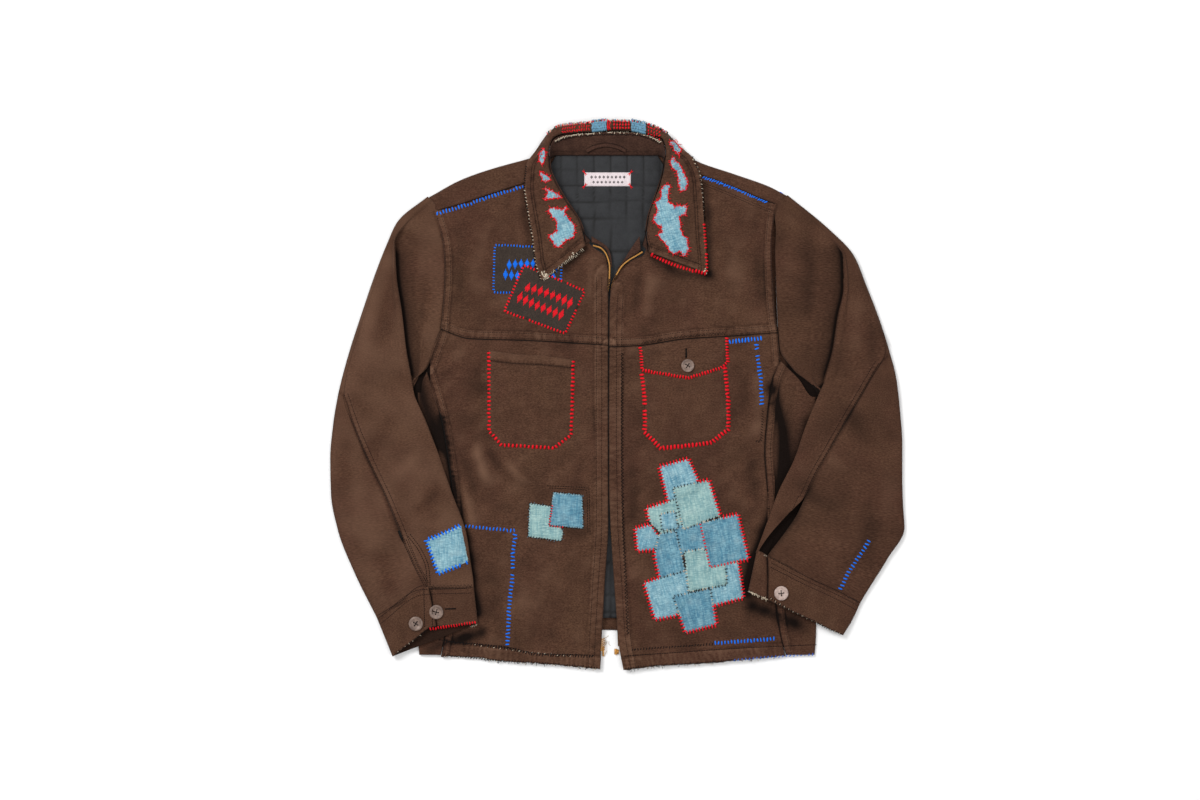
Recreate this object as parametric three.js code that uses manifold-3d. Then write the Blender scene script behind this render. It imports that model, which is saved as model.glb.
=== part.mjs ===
// A patched boro jacket laid flat on its back, front up, +Y towards the collar, +X towards
// the wearer's left. Millimetres, +Z up, origin on the floor at the middle of the outline.
// Each cloth piece is a grid of points on its outer face, thickened into a wall.
import * as THREE from "three";
import { mergeVertices } from "three/addons/utils/BufferGeometryUtils.js";
import Module from "manifold-3d";

const wasm = await Module();
wasm.setup();

// Driving dimensions
const HALF_CHEST = 275; // half the body's width, laid flat
const BODY_HIGH = 10.5; // front cloth above the floor at the middle of the body
const EDGE_DROP = 3.5; // fall of the front towards the side folds
const HEM_DROP = 4; // fall of the front below the back's hem
const SHOULDER_DROP = 3;
const SEAM_GAP = 0.3; // between pieces sewn edge to edge
const LAY_GAP = 0.5; // between a piece and the panel that it lies on
const SHELL = 2.4; // front cloth with its lining
const BACK_SHELL = 2;
const LINING_THICK = 2;
const SLEEVE_SHELL = 3;
const SLEEVE_HIGH = 11; // outer thickness of a flattened sleeve
const COLLAR_SHELL = 2;
const ROLL_HIGH = 26; // top of the collar's fold at the back of the neck
const ROLL_HIGH_FRONT = 15; // the same where the collar ends at the front
const PATCH_THICK = 0.9;
const POCKET_THICK = 1.2;
const BUTTON_THICK = 3;

const CLOTH = { color: 0x58402f, roughness: 0.95, metalness: 0 };
const WORN = { color: 0x684f42, roughness: 0.95, metalness: 0 };
const LINING = { color: 0x2f2f2d, roughness: 0.9, metalness: 0 };
const DENIM = { color: 0x7fb0c8, roughness: 0.9, metalness: 0 };
const DENIM_PALE = { color: 0xa8ccd2, roughness: 0.9, metalness: 0 };
const BADGE = { color: 0x3d3833, roughness: 0.9, metalness: 0 };
const LABEL = { color: 0xe6dcdb, roughness: 0.8, metalness: 0 };
const HORN = { color: 0x7c695f, roughness: 0.5, metalness: 0 };
const BRASS = { color: 0xbf8c34, roughness: 0.35, metalness: 1 };

const group = new THREE.Group();
export default group;

// ---------------------------------------------------------------- helpers

const clamp01 = (v) => Math.min(1, Math.max(0, v));
const smooth = (v) => clamp01(v) ** 2 * (3 - 2 * clamp01(v));
const mix = (a, b, t) => a + (b - a) * t;

function add(name, geometry, look) {
  const mesh = new THREE.Mesh(geometry, new THREE.MeshStandardMaterial(look));
  mesh.name = name;
  group.add(mesh);
  return mesh;
}

// Points at equal steps along a polyline of [x, y] or [x, y, z] points.
function resample(points, steps) {
  const lengths = [0];
  for (let i = 1; i < points.length; i++) {
    const step = Math.hypot(...points[i].map((v, k) => v - points[i - 1][k]));
    lengths.push(lengths[i - 1] + step);
  }
  const total = lengths.at(-1);
  const out = [];
  for (let s = 0; s <= steps; s++) {
    const at = (total * s) / steps;
    let i = 1;
    while (i < points.length - 1 && lengths[i] < at) i++;
    const span = lengths[i] - lengths[i - 1] || 1;
    const t = clamp01((at - lengths[i - 1]) / span);
    out.push(points[i].map((v, k) => mix(points[i - 1][k], v, t)));
  }
  return out;
}

// The grid moved in by the wall's thickness, along its own normals or straight down.
function innerFace(grid, thickness, upright) {
  const rows = grid.length;
  const cols = grid[0].length;
  const at = (i, j) => new THREE.Vector3(...grid[i][j]);
  return grid.map((row, i) =>
    row.map((p, j) => {
      const along = at(Math.min(i + 1, rows - 1), j).sub(at(Math.max(i - 1, 0), j));
      const across = at(i, Math.min(j + 1, cols - 1)).sub(at(i, Math.max(j - 1, 0)));
      const normal = upright ? new THREE.Vector3(0, 0, 1) : across.cross(along).normalize();
      const depth = typeof thickness === "number" ? thickness : thickness[i];
      return at(i, j).addScaledVector(normal, -depth).toArray();
    }),
  );
}

// A closed solid between a grid of outer points and its inner face.
function wall(grid, thickness, upright = false) {
  return between(grid, innerFace(grid, thickness, upright));
}

function between(grid, inner) {
  const rows = grid.length;
  const cols = grid[0].length;
  const positions = [...grid.flat(2), ...inner.flat(2)];
  const outerId = (i, j) => i * cols + j;
  const innerId = (i, j) => rows * cols + i * cols + j;
  const index = [];
  const quad = (a, b, c, d) => index.push(a, b, c, a, c, d);
  for (let i = 0; i < rows - 1; i++) {
    for (let j = 0; j < cols - 1; j++) {
      quad(outerId(i, j), outerId(i + 1, j), outerId(i + 1, j + 1), outerId(i, j + 1));
      quad(innerId(i, j), innerId(i, j + 1), innerId(i + 1, j + 1), innerId(i + 1, j));
    }
  }
  const last = cols - 1;
  for (let i = 0; i < rows - 1; i++) {
    quad(outerId(i, 0), innerId(i, 0), innerId(i + 1, 0), outerId(i + 1, 0));
    quad(outerId(i, last), outerId(i + 1, last), innerId(i + 1, last), innerId(i, last));
  }
  const end = rows - 1;
  for (let j = 0; j < cols - 1; j++) {
    quad(outerId(0, j), outerId(0, j + 1), innerId(0, j + 1), innerId(0, j));
    quad(outerId(end, j), innerId(end, j), innerId(end, j + 1), outerId(end, j + 1));
  }
  return outward(positions, index);
}

// A geometry whose faces point out, whichever way its grid was wound.
function outward(positions, index) {
  let volume = 0;
  const p = (k) => new THREE.Vector3().fromArray(positions, index[k] * 3);
  for (let k = 0; k < index.length; k += 3) volume += p(k).dot(p(k + 1).cross(p(k + 2)));
  if (volume < 0) {
    for (let k = 0; k < index.length; k += 3) {
      [index[k + 1], index[k + 2]] = [index[k + 2], index[k + 1]];
    }
  }
  const geometry = new THREE.BufferGeometry();
  geometry.setAttribute("position", new THREE.Float32BufferAttribute(positions, 3));
  geometry.setIndex(index);
  return geometry;
}

// A flat-lying piece: rows of [x, y] points, top to bottom, on the height given.
function panel(name, look, rows, steps, height, thickness) {
  const grid = rows.map((row) => resample(row, steps).map(([x, y]) => [x, y, height(x, y)]));
  return add(name, wall(grid, thickness, true), look);
}

// A small piece cut to an outline, lying on the height given.
function cutout(outline, height, thickness) {
  const flat = outline.map(([x, y]) => new THREE.Vector2(x, y));
  if (THREE.ShapeUtils.isClockWise(flat)) flat.reverse();
  const count = flat.length;
  const top = flat.flatMap((p) => [p.x, p.y, height(p.x, p.y) + thickness]);
  const bottom = flat.flatMap((p) => [p.x, p.y, height(p.x, p.y)]);
  const index = [];
  for (const [a, b, c] of THREE.ShapeUtils.triangulateShape(flat, [])) {
    index.push(a, b, c, count + a, count + c, count + b);
  }
  for (let i = 0; i < count; i++) {
    const next = (i + 1) % count;
    index.push(i, count + i, count + next, i, count + next, next);
  }
  return outward([...top, ...bottom], index);
}

function toManifold(geometry) {
  const clean = geometry.clone();
  clean.deleteAttribute("normal");
  clean.deleteAttribute("uv");
  const merged = mergeVertices(clean);
  const vertProperties = new Float32Array(merged.attributes.position.array);
  const triVerts = new Uint32Array(merged.index.array);
  return new wasm.Manifold(new wasm.Mesh({ numProp: 3, vertProperties, triVerts }));
}

function fromManifold(solid) {
  const { vertProperties, triVerts } = solid.getMesh();
  const geometry = new THREE.BufferGeometry();
  geometry.setAttribute("position", new THREE.Float32BufferAttribute(vertProperties, 3));
  geometry.setIndex(Array.from(triVerts));
  return geometry;
}

// ---------------------------------------------------------------- how high the body lies

// Top of the front's cloth: a low crown that falls to the side folds, shoulders and hem.
function bodyTop(x, y) {
  const side = EDGE_DROP * Math.min(1, Math.abs(x) / HALF_CHEST) ** 4;
  const shoulder = SHOULDER_DROP * clamp01((y - 200) / 150) ** 2;
  const hem = HEM_DROP * smooth((-285 - y) / 70);
  return Math.max(5.2, BODY_HIGH - side - shoulder - hem);
}

// ---------------------------------------------------------------- body

// The cloth that comes over each shoulder from the back: the seam on the front, and the fold.
const SHOULDERS = {
  right: {
    sign: -1,
    seam: [[-100, 300], [-128, 291.5], [-172, 277.5], [-214, 263.5], [-252, 253]],
    fold: [[-98, 332], [-125, 324], [-172, 311], [-214, 296], [-260, 271]],
  },
  left: {
    sign: 1,
    seam: [[70, 315], [117, 302.5], [162, 285.5], [209, 266.5], [221, 262.5]],
    fold: [[68, 345], [113, 320], [160, 304], [208, 287], [235, 273]],
  },
};

function shoulderStrip({ sign, seam, fold }) {
  const under = 16; // how far the strip reaches below, into the flat of the back
  const grid = seam.map(([sx, sy], i) => {
    const [fx, fy] = fold[i];
    const top = bodyTop(sx, sy);
    const length = Math.hypot(fx - sx, fy - sy);
    const [dx, dy] = [(fx - sx) / length, (fy - sy) / length];
    const along = (d, z) => [fx - dx * d, fy - dy * d, z];
    return [
      [sx, sy, top],
      along(length * 0.5, top - 0.2),
      along(3, top - 1.2),
      along(0.6, top * 0.66),
      along(0.6, top * 0.32),
      along(3, 0.4),
      along(6, 0),
      along(under, 0),
    ];
  });
  return toManifold(wall(grid, -sign * BACK_SHELL));
}

function backPanel() {
  const rows = [
    [[-250, 262], [-196, 290], [-125, 314], [-92, 327], [64, 327], [111, 308], [173, 288], [226, 264]],
    [[-243, 235], [219, 235]],
    [[-236.5, 190], [218.5, 190]],
    [[-240, 100], [221, 95]],
    [[-256, 47], [226, 50]],
    [[-246, 14], [243, 14]],
    [[-246, -10], [246, -10]],
    [[-246.5, -100], [246.5, -100]],
    [[-246.5, -220], [246.5, -220]],
    [[-246.5, -346], [-150, -336], [-60, -323], [60, -323], [150, -336], [246.5, -349]],
  ];
  const grid = rows.map((row) => resample(row, 10).map(([x, y]) => [x, y, 0]));
  let solid = toManifold(wall(grid, -BACK_SHELL, true));
  for (const side of ["right", "left"]) solid = solid.add(shoulderStrip(SHOULDERS[side]));
  add("back_panel", fromManifold(solid), CLOTH);
}

// Quilted lining on the inside of the back, seen in the neck and between the fronts.
function backLining() {
  const rows = [
    [[-88, 322], [60, 322]],
    [[-105, 300], [78, 300]],
    [[-205, 262], [185, 262]],
    [[-222, 180], [196, 180]],
    [[-222, 60], [205, 60]],
    [[-225, -100], [222, -100]],
    [[-225, -300], [-60, -306], [60, -306], [222, -300]],
  ];
  const height = () => BACK_SHELL + SEAM_GAP + LINING_THICK;
  panel("back_lining", LINING, rows, 6, height, LINING_THICK);
}

const YOKE_SEAM = {
  right: [[-242, 91], [-202, 78], [-133, 76], [-59, 72], [-12, 69]],
  left: [[-10.6, 66.5], [32, 68.5], [91, 77.5], [153, 81.5], [221, 86.5]],
};
const lower = (line, gap) => line.map(([x, y]) => [x, y - gap]);

function frontYokes() {
  panel("front_yoke_right", CLOTH, [
    lower([[-252, 253], [-214, 263.2], [-172, 277.2], [-128, 291.2], [-100, 299.7]], SEAM_GAP),
    [[-247, 238], [-89, 277]],
    [[-240.5, 216], [-73, 251]],
    [[-238, 197], [-52, 223]],
    [[-237, 180], [-33, 204]],
    [[-237, 165], [-15, 189]],
    [[-238, 142], [-12, 163]],
    [[-240.5, 114], [-12, 115]],
    YOKE_SEAM.right,
  ], 8, bodyTop, SHELL);
  panel("front_yoke_left", CLOTH, [
    lower([[70, 314.7], [117, 302.2], [162, 285.2], [209, 266.2], [220, 262.2]], SEAM_GAP),
    [[62, 290], [216.5, 245]],
    [[54, 262], [213.5, 225]],
    [[47, 235], [212.5, 200]],
    [[37, 194], [213, 175]],
    [[21, 186], [214, 160]],
    [[6, 174], [215.5, 143]],
    [[-3, 160], [216.5, 125]],
    [[-9, 141], [217.5, 110]],
    [[-10.6, 111], [219, 98]],
    YOKE_SEAM.left,
  ], 8, bodyTop, SHELL);
}

const SIDE_SEAM = {
  right: [[-261, 33], [-257, 21], [-242, -31], [-232, -89], [-226, -135], [-224, -175],
    [-228, -275], [-236, -325], [-242, -357]],
  left: [[224, 48], [214, 24], [206, -35], [203, -76], [206, -120], [209, -160],
    [215, -259], [224, -325], [232, -357]],
};

function lowerFronts() {
  const right = SIDE_SEAM.right;
  panel("front_lower_right", CLOTH, [
    lower(YOKE_SEAM.right, SEAM_GAP),
    [[-257, 50], [-12, 45]],
    [right[1], [-12, 15]],
    [right[2], [-12, -31]],
    [right[3], [-12, -89]],
    [right[4], [-12, -135]],
    [right[5], [-12, -175]],
    [right[6], [-17, -262]],
    [[-231, -300], [-19, -300]],
    [right[7], [-21, -333]],
    [[-242, -359.5], [-198, -361], [-157, -367], [-106, -370], [-23, -377]],
  ], 8, bodyTop, SHELL);
  const left = SIDE_SEAM.left;
  panel("front_lower_left", CLOTH, [
    lower(YOKE_SEAM.left, SEAM_GAP),
    [[-10.8, 45], left[0]],
    [[-11, 18], left[1]],
    [[-11.4, -35], left[2]],
    [[-11, -76], left[3]],
    [[-11, -120], left[4]],
    [[-10, -160], left[5]],
    [[-4, -259], left[6]],
    [[-1, -300], [220, -300]],
    [[1, -333], left[7]],
    [[9, -379], [60, -373], [117, -370], [159, -366], [232, -359]],
  ], 8, bodyTop, SHELL);
}

// Side panels run from the front's side seam round the fold to the back panel.
function sidePanel(name, seam, sign, edgeTop) {
  const last = seam.length - 1;
  const grid = seam.map(([sx, sy], i) => {
    const edgeY = Math.min(sy, edgeTop - 10 * i);
    const x0 = sx + sign * SEAM_GAP;
    const fold = sign * (i === last ? HALF_CHEST - 2 : HALF_CHEST);
    const high = bodyTop(fold, edgeY);
    const mid = mix(x0, fold, 0.5);
    const midY = mix(sy, edgeY, 0.5);
    return [
      [x0, sy, bodyTop(x0, sy)],
      [mid, midY, bodyTop(mid, midY)],
      [fold - sign * 4, edgeY, high - 0.3],
      [fold - sign * 0.8, edgeY, high * 0.7],
      [fold - sign * 0.8, edgeY, high * 0.3],
      [fold - sign * 4, edgeY, 0],
      [sign * (HALF_CHEST - 28), mix(sy, edgeY, 0.8), 0],
    ];
  });
  const cloth = 1.8;
  add(name, wall(grid, -sign * cloth), CLOTH);
}

// ---------------------------------------------------------------- sleeves

// Rows run from the shoulder to the cuff. Each holds the sleeve's outer fold, its elbow seam
// where that shows on top, its inner fold, and, down to the underarm, its armhole seam.
const SLEEVES = {
  right: {
    sign: -1,
    rows: [
      { outer: [-269, 264], inner: [-262, 261], hole: [-255.5, 258], reach: 0.985 },
      { outer: [-302, 240], inner: [-290, 236], hole: [-245.5, 232], reach: 0.985 },
      { outer: [-316, 211], inner: [-305, 211], hole: [-240.5, 208], reach: 0.985 },
      { outer: [-334, 165], inner: [-303, 165], hole: [-239, 172], reach: 0.985 },
      { outer: [-352, 112], inner: [-296, 118], hole: [-244, 104], reach: 0.985 },
      { outer: [-367, 66], inner: [-290, 66], hole: [-253, 70], reach: 0.985 },
      { outer: [-378, 27], inner: [-283, 27], hole: [-264.5, 37], reach: 0.93 },
      { outer: [-385, -3], inner: [-279, 4], seam: [-377, 1] },
      { outer: [-391, -40], inner: [-262, -36], seam: [-363, -40] },
      { outer: [-395, -86], inner: [-243, -86], seam: [-343, -88] },
      { outer: [-394, -135], inner: [-226, -135], seam: [-320, -135] },
      { outer: [-384, -187], inner: [-207, -192], seam: [-299, -184] },
      { outer: [-366, -235], inner: [-201, -232], seam: [-281, -230] },
      { outer: [-333, -303], inner: [-196, -258], seam: [-262, -264] },
    ],
  },
  left: {
    sign: 1,
    rows: [
      { outer: [240, 272], inner: [235, 268.5], hole: [229, 264], reach: 0.985 },
      { outer: [292, 229], inner: [280, 228], hole: [223, 228], reach: 0.985 },
      { outer: [326, 193], inner: [311, 190], hole: [222, 195], reach: 0.985 },
      { outer: [344, 150], inner: [312, 150], hole: [223, 160], reach: 0.985 },
      { outer: [362, 103], inner: [304, 108], hole: [225, 112], reach: 0.985 },
      { outer: [375, 62], inner: [297, 62], hole: [228, 66], reach: 0.985 },
      { outer: [385, 22], inner: [286, 22], hole: [248, 33], seam: [362, 44], reach: 0.93 },
      { outer: [390, -22], inner: [275, -3], seam: [338, 4] },
      { outer: [393, -66], inner: [259, -42], seam: [313, -38] },
      { outer: [393, -112], inner: [243, -88], seam: [291, -76] },
      { outer: [394, -158], inner: [222, -140], seam: [271, -111] },
      { outer: [388, -195], inner: [205, -182], seam: [250, -152] },
      { outer: [367, -228], inner: [193, -210], seam: [224, -180] },
      { outer: [337, -284], inner: [180, -262], seam: [209, -221] },
    ],
  },
};

// Height that a sleeve or cuff rests on: the floor, rising over the side of the body.
function restHeight(sign, x, y) {
  const reach = (sign * x - (HALF_CHEST + 12)) / 50;
  const over = 1 - smooth(reach);
  const below = smooth((24 - y) / 26);
  return (bodyTop(x, y) + 1) * over * below;
}

// A flattened tube's half that lies on top, from one edge to the other.
function lift(t) {
  return Math.sqrt(Math.max(0, 1 - Math.abs(2 * t - 1) ** 6));
}

// One ring per row: under the sleeve from its inner side, round the outer fold, over the top
// to the inner fold or the armhole. The elbow seam splits it into a top and an under piece.
function sleeve(side) {
  const { sign, rows } = SLEEVES[side];
  const edge = 3.6; // half thickness at a fold
  const seamColumn = 9;
  const low = (x, y) => restHeight(sign, x, y);
  const ring = rows.map((row) => {
    const { outer, inner, hole, seam, reach = 0.9 } = row;
    const width = Math.hypot(inner[0] - outer[0], inner[1] - outer[1]);
    const inset = Math.min(0.12, 2.5 / width);
    const seamAt = seam ? Math.hypot(seam[0] - outer[0], seam[1] - outer[1]) / width : 0;
    const share = Math.max(seamAt, Math.min(0.3, 5.5 / width));
    const overTop = (t) => {
      const [x, y] = [mix(outer[0], inner[0], t), mix(outer[1], inner[1], t)];
      return [x, y, low(x, y) + edge + (SLEEVE_HIGH - edge) * lift(t)];
    };
    const end = hole ?? inner;
    const points = [reach, 0.7, 0.5, 0.3, inset].map((t) => {
      const [x, y] = [mix(outer[0], end[0], t), mix(outer[1], end[1], t)];
      return [x, y, low(x, y)];
    });
    for (const rise of [-1.5, 1.5]) points.push([...outer, low(...outer) + edge + rise]);
    points.push(overTop(inset), overTop(mix(inset, share, 0.5)), overTop(share));
    for (const k of [0.25, 0.5, 0.75, 1]) points.push(overTop(mix(share, 1 - inset, k)));
    if (hole) {
      const foot = bodyTop(...hole);
      const toHole = (t, z) => [mix(inner[0], hole[0], t), mix(inner[1], hole[1], t), z];
      points.push(toHole(0.06, foot + 1.2), toHole(0.45, foot + 0.2), toHole(1, foot));
    } else {
      for (const rise of [6.5, 5.2, 4]) points.push([...inner, low(...inner) + rise]);
    }
    return points;
  });
  const walls = rows.map((row, i) => sign * Math.min(SLEEVE_SHELL, 1.2 + 0.6 * i));
  const inside = innerFace(ring, walls, false);
  const split = (from, to) => [ring, inside].map((grid) => grid.map((row) => row.slice(from, to)));
  const under = split(0, seamColumn + 1);
  const top = split(seamColumn);
  for (const grid of top) {
    for (const row of grid) {
      const step = Math.hypot(row[1][0] - row[0][0], row[1][1] - row[0][1]);
      row[0] = row[0].map((v, k) => mix(v, row[1][k], Math.min(0.6, (3 * SEAM_GAP) / step)));
    }
  }
  add(`sleeve_top_${side}`, between(...top), CLOTH);
  add(`sleeve_under_${side}`, between(...under), WORN);
}

// ---------------------------------------------------------------- cuffs

// Seam and hem of each cuff, from the end that the ring comes back to (a) to the far end (b),
// with the shares of the width where its two ends lie over each other.
const CUFFS = {
  right: { sign: -1, lap: 0.485, tuck: 0.57, rows: [
    [[-332, -305.5], [-195, -261]], [[-321, -332], [-193, -287]], [[-309, -358], [-191, -311]],
  ] },
  left: { sign: 1, lap: 0.12, tuck: 0.2, rows: [
    [[181, -265], [335, -286]], [[186, -268], [324, -309]], [[192, -272], [311, -330]],
  ] },
};

function cuff(side) {
  const { sign, lap, tuck, rows } = CUFFS[side];
  const thick = 2.2;
  const high = 8;
  const grid = rows.map(([a, b]) => {
    const at = (t, rise) => {
      const [x, y] = [mix(a[0], b[0], t), mix(a[1], b[1], t)];
      return [x, y, restHeight(sign, x, y) + rise];
    };
    return [
      at(lap, high + thick + 0.5), at(mix(lap, tuck, 1.2), high + thick + 0.5),
      at(mix(tuck, 1, 0.5), high + 0.6), at(0.97, high - 0.5), at(1, high * 0.7), at(1, high * 0.3),
      at(0.97, 0), at(0.66, 0), at(0.33, 0), at(0.03, 0), at(0, high * 0.3), at(0, high * 0.7),
      at(0.03, high - 0.5), at(mix(0.03, tuck, 0.5), high), at(tuck, high),
    ];
  });
  add(`cuff_${side}`, wall(grid, -thick), CLOTH);
}

// ---------------------------------------------------------------- collar

// Stations from the collar's right front end round the neck to its left one: the neck seam,
// the fold, the outline, the fold's height, and how far the outer cloth tucks under (0 to 1).
const COLLAR = [
  { neck: [-35.5, 213], roll: [-43, 206], edge: [-104, 158], high: 18, tuck: 0 },
  { neck: [-52, 232], roll: [-50, 235], edge: [-112, 182], high: 19, tuck: 0 },
  { neck: [-63, 248], roll: [-60, 252], edge: [-116, 215], high: 20, tuck: 0 },
  { neck: [-77, 267], roll: [-72, 270], edge: [-122, 250], high: 21, tuck: 0 },
  { neck: [-90, 290], roll: [-85, 293], edge: [-127, 284], high: 23, tuck: 0 },
  { neck: [-96.5, 310], roll: [-93, 314], edge: [-125, 316], high: 24, tuck: 0 },
  { neck: [-94, 322], roll: [-94, 334], edge: [-112, 338], high: 25, tuck: 0.15 },
  { neck: [-84, 329.5], roll: [-88, 350], edge: [-97, 354], high: 26, tuck: 0.6 },
  { neck: [-60, 329.5], roll: [-66, 364], edge: [-69, 372], high: 26, tuck: 1 },
  { neck: [-34, 329.5], roll: [-36, 367], edge: [-36, 375.5], high: 26, tuck: 1 },
  { neck: [-12, 329.5], roll: [-12, 369], edge: [-12, 378.5], high: 26, tuck: 1 },
  { neck: [18, 329.5], roll: [20, 368], edge: [20, 377], high: 26, tuck: 1 },
  { neck: [38, 329.5], roll: [43, 363], edge: [46, 372], high: 26, tuck: 1 },
  { neck: [56, 329.5], roll: [62, 350], edge: [70, 357], high: 26, tuck: 0.6 },
  { neck: [64, 326], roll: [67, 333], edge: [85, 345], high: 25, tuck: 0.15 },
  { neck: [62.5, 308], roll: [64, 309], edge: [104, 327], high: 24, tuck: 0 },
  { neck: [57.5, 287], roll: [58, 287], edge: [115, 300], high: 23, tuck: 0 },
  { neck: [50, 263], roll: [50, 264], edge: [118, 262], high: 21, tuck: 0 },
  { neck: [43, 240], roll: [43, 241], edge: [120, 225], high: 20, tuck: 0 },
  { neck: [38.5, 222], roll: [41, 222], edge: [123, 190], high: 19, tuck: 0 },
  { neck: [34.5, 207], roll: [44, 197], edge: [124, 168], high: 18, tuck: 0 },
];

const STAND_SHELL = 1.6;

function collarGrid() {
  const reachUnder = 22; // how far the back's outer cloth is tucked under the fold
  return COLLAR.map(({ roll, edge, high, tuck }) => {
    const width = Math.hypot(edge[0] - roll[0], edge[1] - roll[1]);
    const [dx, dy] = [(edge[0] - roll[0]) / width, (edge[1] - roll[1]) / width];
    const out = (d, z) => [roll[0] + dx * d, roll[1] + dy * d, z];
    const surface = bodyTop(...edge) + 3.4;
    const leaf = [
      out(0, high - 2.6), out(0.06 * width, high - 0.4), out(0.2 * width, high - 0.6),
      out(0.55 * width, mix(high, surface, 0.55) + 1.8), out(0.85 * width, surface + 2.7),
      out(width, surface + 2),
    ];
    const back = [
      out(0, high - 2.6), out(0.25 * width, high - 0.3), out(0.7 * width, high - 2),
      out(width, high * 0.6), out(width - 1.5, 2), out(-reachUnder, 0),
    ];
    return leaf.map((p, k) => p.map((v, axis) => mix(v, back[k][axis], tuck)));
  });
}

// The band between the neck seam and the fold, its inner side seen in the neck.
function standGrid() {
  return COLLAR.map(({ neck, roll, edge, high, tuck }) => {
    const width = Math.hypot(edge[0] - roll[0], edge[1] - roll[1]);
    const inward = 2.6 / width; // the stand's inner face, past the fold's inner edge
    const topEdge = [0, 1].map((k) => mix(roll[k], edge[k], -inward));
    const foot = mix(bodyTop(...neck) - 1, BACK_SHELL + 0.6, smooth(tuck * 1.6));
    return [0, 0.5, 1].map((t) => [
      mix(neck[0], topEdge[0], t), mix(neck[1], topEdge[1], t), mix(foot, high - 3.8, t),
    ]);
  });
}

// A piece laid on a grid of points: the grid moved out, cut to the outline from above.
function laidOn(grid, outline, gap, thickness) {
  const moved = (d) => grid.map((row) => row.map(([x, y, z]) => [x, y, z + d]));
  const slab = toManifold(between(moved(gap + thickness), moved(gap)));
  const shape = new THREE.Shape(outline.map(([x, y]) => new THREE.Vector2(x, y)));
  const reach = 80;
  const cutter = new THREE.ExtrudeGeometry(shape, { depth: reach, bevelEnabled: false });
  const pieces = slab.intersect(toManifold(cutter)).decompose();
  pieces.sort((a, b) => b.volume() - a.volume());
  return fromManifold(pieces[0]);
}

const COLLAR_CUTS = [
  [[-100, 340], [-106, 329], [-104, 317], [-98, 325]],
  [[-107, 307], [-100, 293], [-91, 296]],
  [[-100, 285], [-95, 277], [-100, 269], [-91, 271], [-76, 273], [-92, 280]],
  [[-95, 254], [-84, 256], [-74, 254], [-69, 259], [-73, 251], [-69, 243], [-58, 234], [-60, 218],
    [-67, 215], [-82, 203], [-88, 212], [-92, 218], [-82, 226], [-82, 238], [-88, 247]],
  [[75, 350], [73, 346], [84, 330], [88, 336], [80, 348]],
  [[76, 326], [73, 320], [85, 302], [87, 281], [95, 282], [96, 296], [89, 310], [81, 322]],
  [[65, 289], [73, 286], [69, 281], [69, 266], [78, 260], [95, 259], [95, 249], [85, 247], [85, 233],
    [89, 222], [95, 215], [98, 198], [92, 192], [87, 199], [78, 196], [71, 199], [72, 203], [57, 219],
    [62, 225], [62, 233], [54, 237], [49, 241], [54, 248], [55, 256], [53, 262], [62, 273], [62, 284]],
];

function collar() {
  const grid = collarGrid();
  add("collar", wall(grid, -COLLAR_SHELL), CLOTH);
  add("collar_stand", wall(standGrid(), -STAND_SHELL), WORN);
  const leaves = [grid.slice(0, 7), grid.slice(14)];
  COLLAR_CUTS.forEach((outline, i) => {
    const leaf = leaves[outline[0][0] < 0 ? 0 : 1];
    add(`collar_applique_${i + 1}`, laidOn(leaf, outline, SEAM_GAP, PATCH_THICK), DENIM);
  });
}

function hangerLoop() {
  const arch = [[-42, 336], [-30, 341.5], [-15, 344], [0, 341.5], [12, 336]];
  const slope = 0.53; // the stand's rise towards its fold
  const width = 4;
  const grid = arch.map(([x, y]) => {
    const z = BACK_SHELL + 2.8 + (y - 329.5) * slope;
    return [[x, y - width / 2, z - (width / 2) * slope], [x, y + width / 2, z + (width / 2) * slope]];
  });
  add("hanger_loop", wall(grid, 1, true), WORN);
}

// ---------------------------------------------------------------- facings and zip

const ZIP_LINE = {
  right: [[-33, 206], [-23, 203], [-14, 192], [-10.2, 176], [-10.6, 160], [-13.5, 140], [-15, 100],
    [-15, -170], [-20, -262], [-21.5, -300], [-23.5, -345]],
  left: [[35.2, 197.4], [27, 192.3], [17, 186.5], [6.5, 177.5], [-1, 165.5], [-6, 153], [-7.5, 141],
    [-7.8, 120], [-7.8, -160], [-1, -259], [1, -300], [3, -345]],
};

function zipTape(side) {
  const sign = side === "right" ? 1 : -1;
  const half = 1.1;
  const thick = 1.4;
  const grid = ZIP_LINE[side].map(([x, y], i) => {
    const clear = i < 4 ? 0.4 : SHELL + 0.5; // beside the front's edge, then under it
    const z = Math.max(thick + 0.4, bodyTop(x, y) - clear);
    const [dx, dy] = i < 3 ? [0.45 * sign, 0.9] : [sign, 0];
    return [[x - dx * half, y - dy * half, z], [x + dx * half, y + dy * half, z]];
  });
  add(`zip_tape_${side}`, wall(grid, thick, true), BRASS);
}

// The insides of the fronts that show between the zip and the neck's lining.
const FACINGS = {
  right: [
    [[-35, 219], [-35, 210.5]], [[-24, 212], [-24.5, 207]], [[-12.5, 203], [-14.5, 200]],
    [[-8, 190], [-10.5, 189]], [[-6.8, 176], [-8.2, 176]],
  ],
  left: [
    [[31, 219], [32.5, 199.8]], [[26, 212], [27, 194.8]], [[16, 197], [17.5, 189.5]],
    [[8, 184], [9, 182.5]], [[0.4, 174.5], [1.2, 173.5]],
  ],
};

function facing(side) {
  const grid = FACINGS[side].map((row) => resample(row, 2).map(([x, y], k) => {
    return [x, y, bodyTop(x, y) - 1.6 + 0.5 * k];
  }));
  add(`front_facing_${side}`, wall(grid, 1.4, true), WORN);
}

function zipEnds() {
  const block = (name, [x, y], [w, l, h], z) => {
    const geometry = new THREE.BoxGeometry(w, l, h);
    add(name, geometry, BRASS).position.set(x, y, z + h / 2);
  };
  block("zip_pin_right", [-19, -353], [3, 12, 1.6], 0.6);
  block("zip_box_left", [0, -353], [5, 8, 1.6], 0.6);
}

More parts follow.
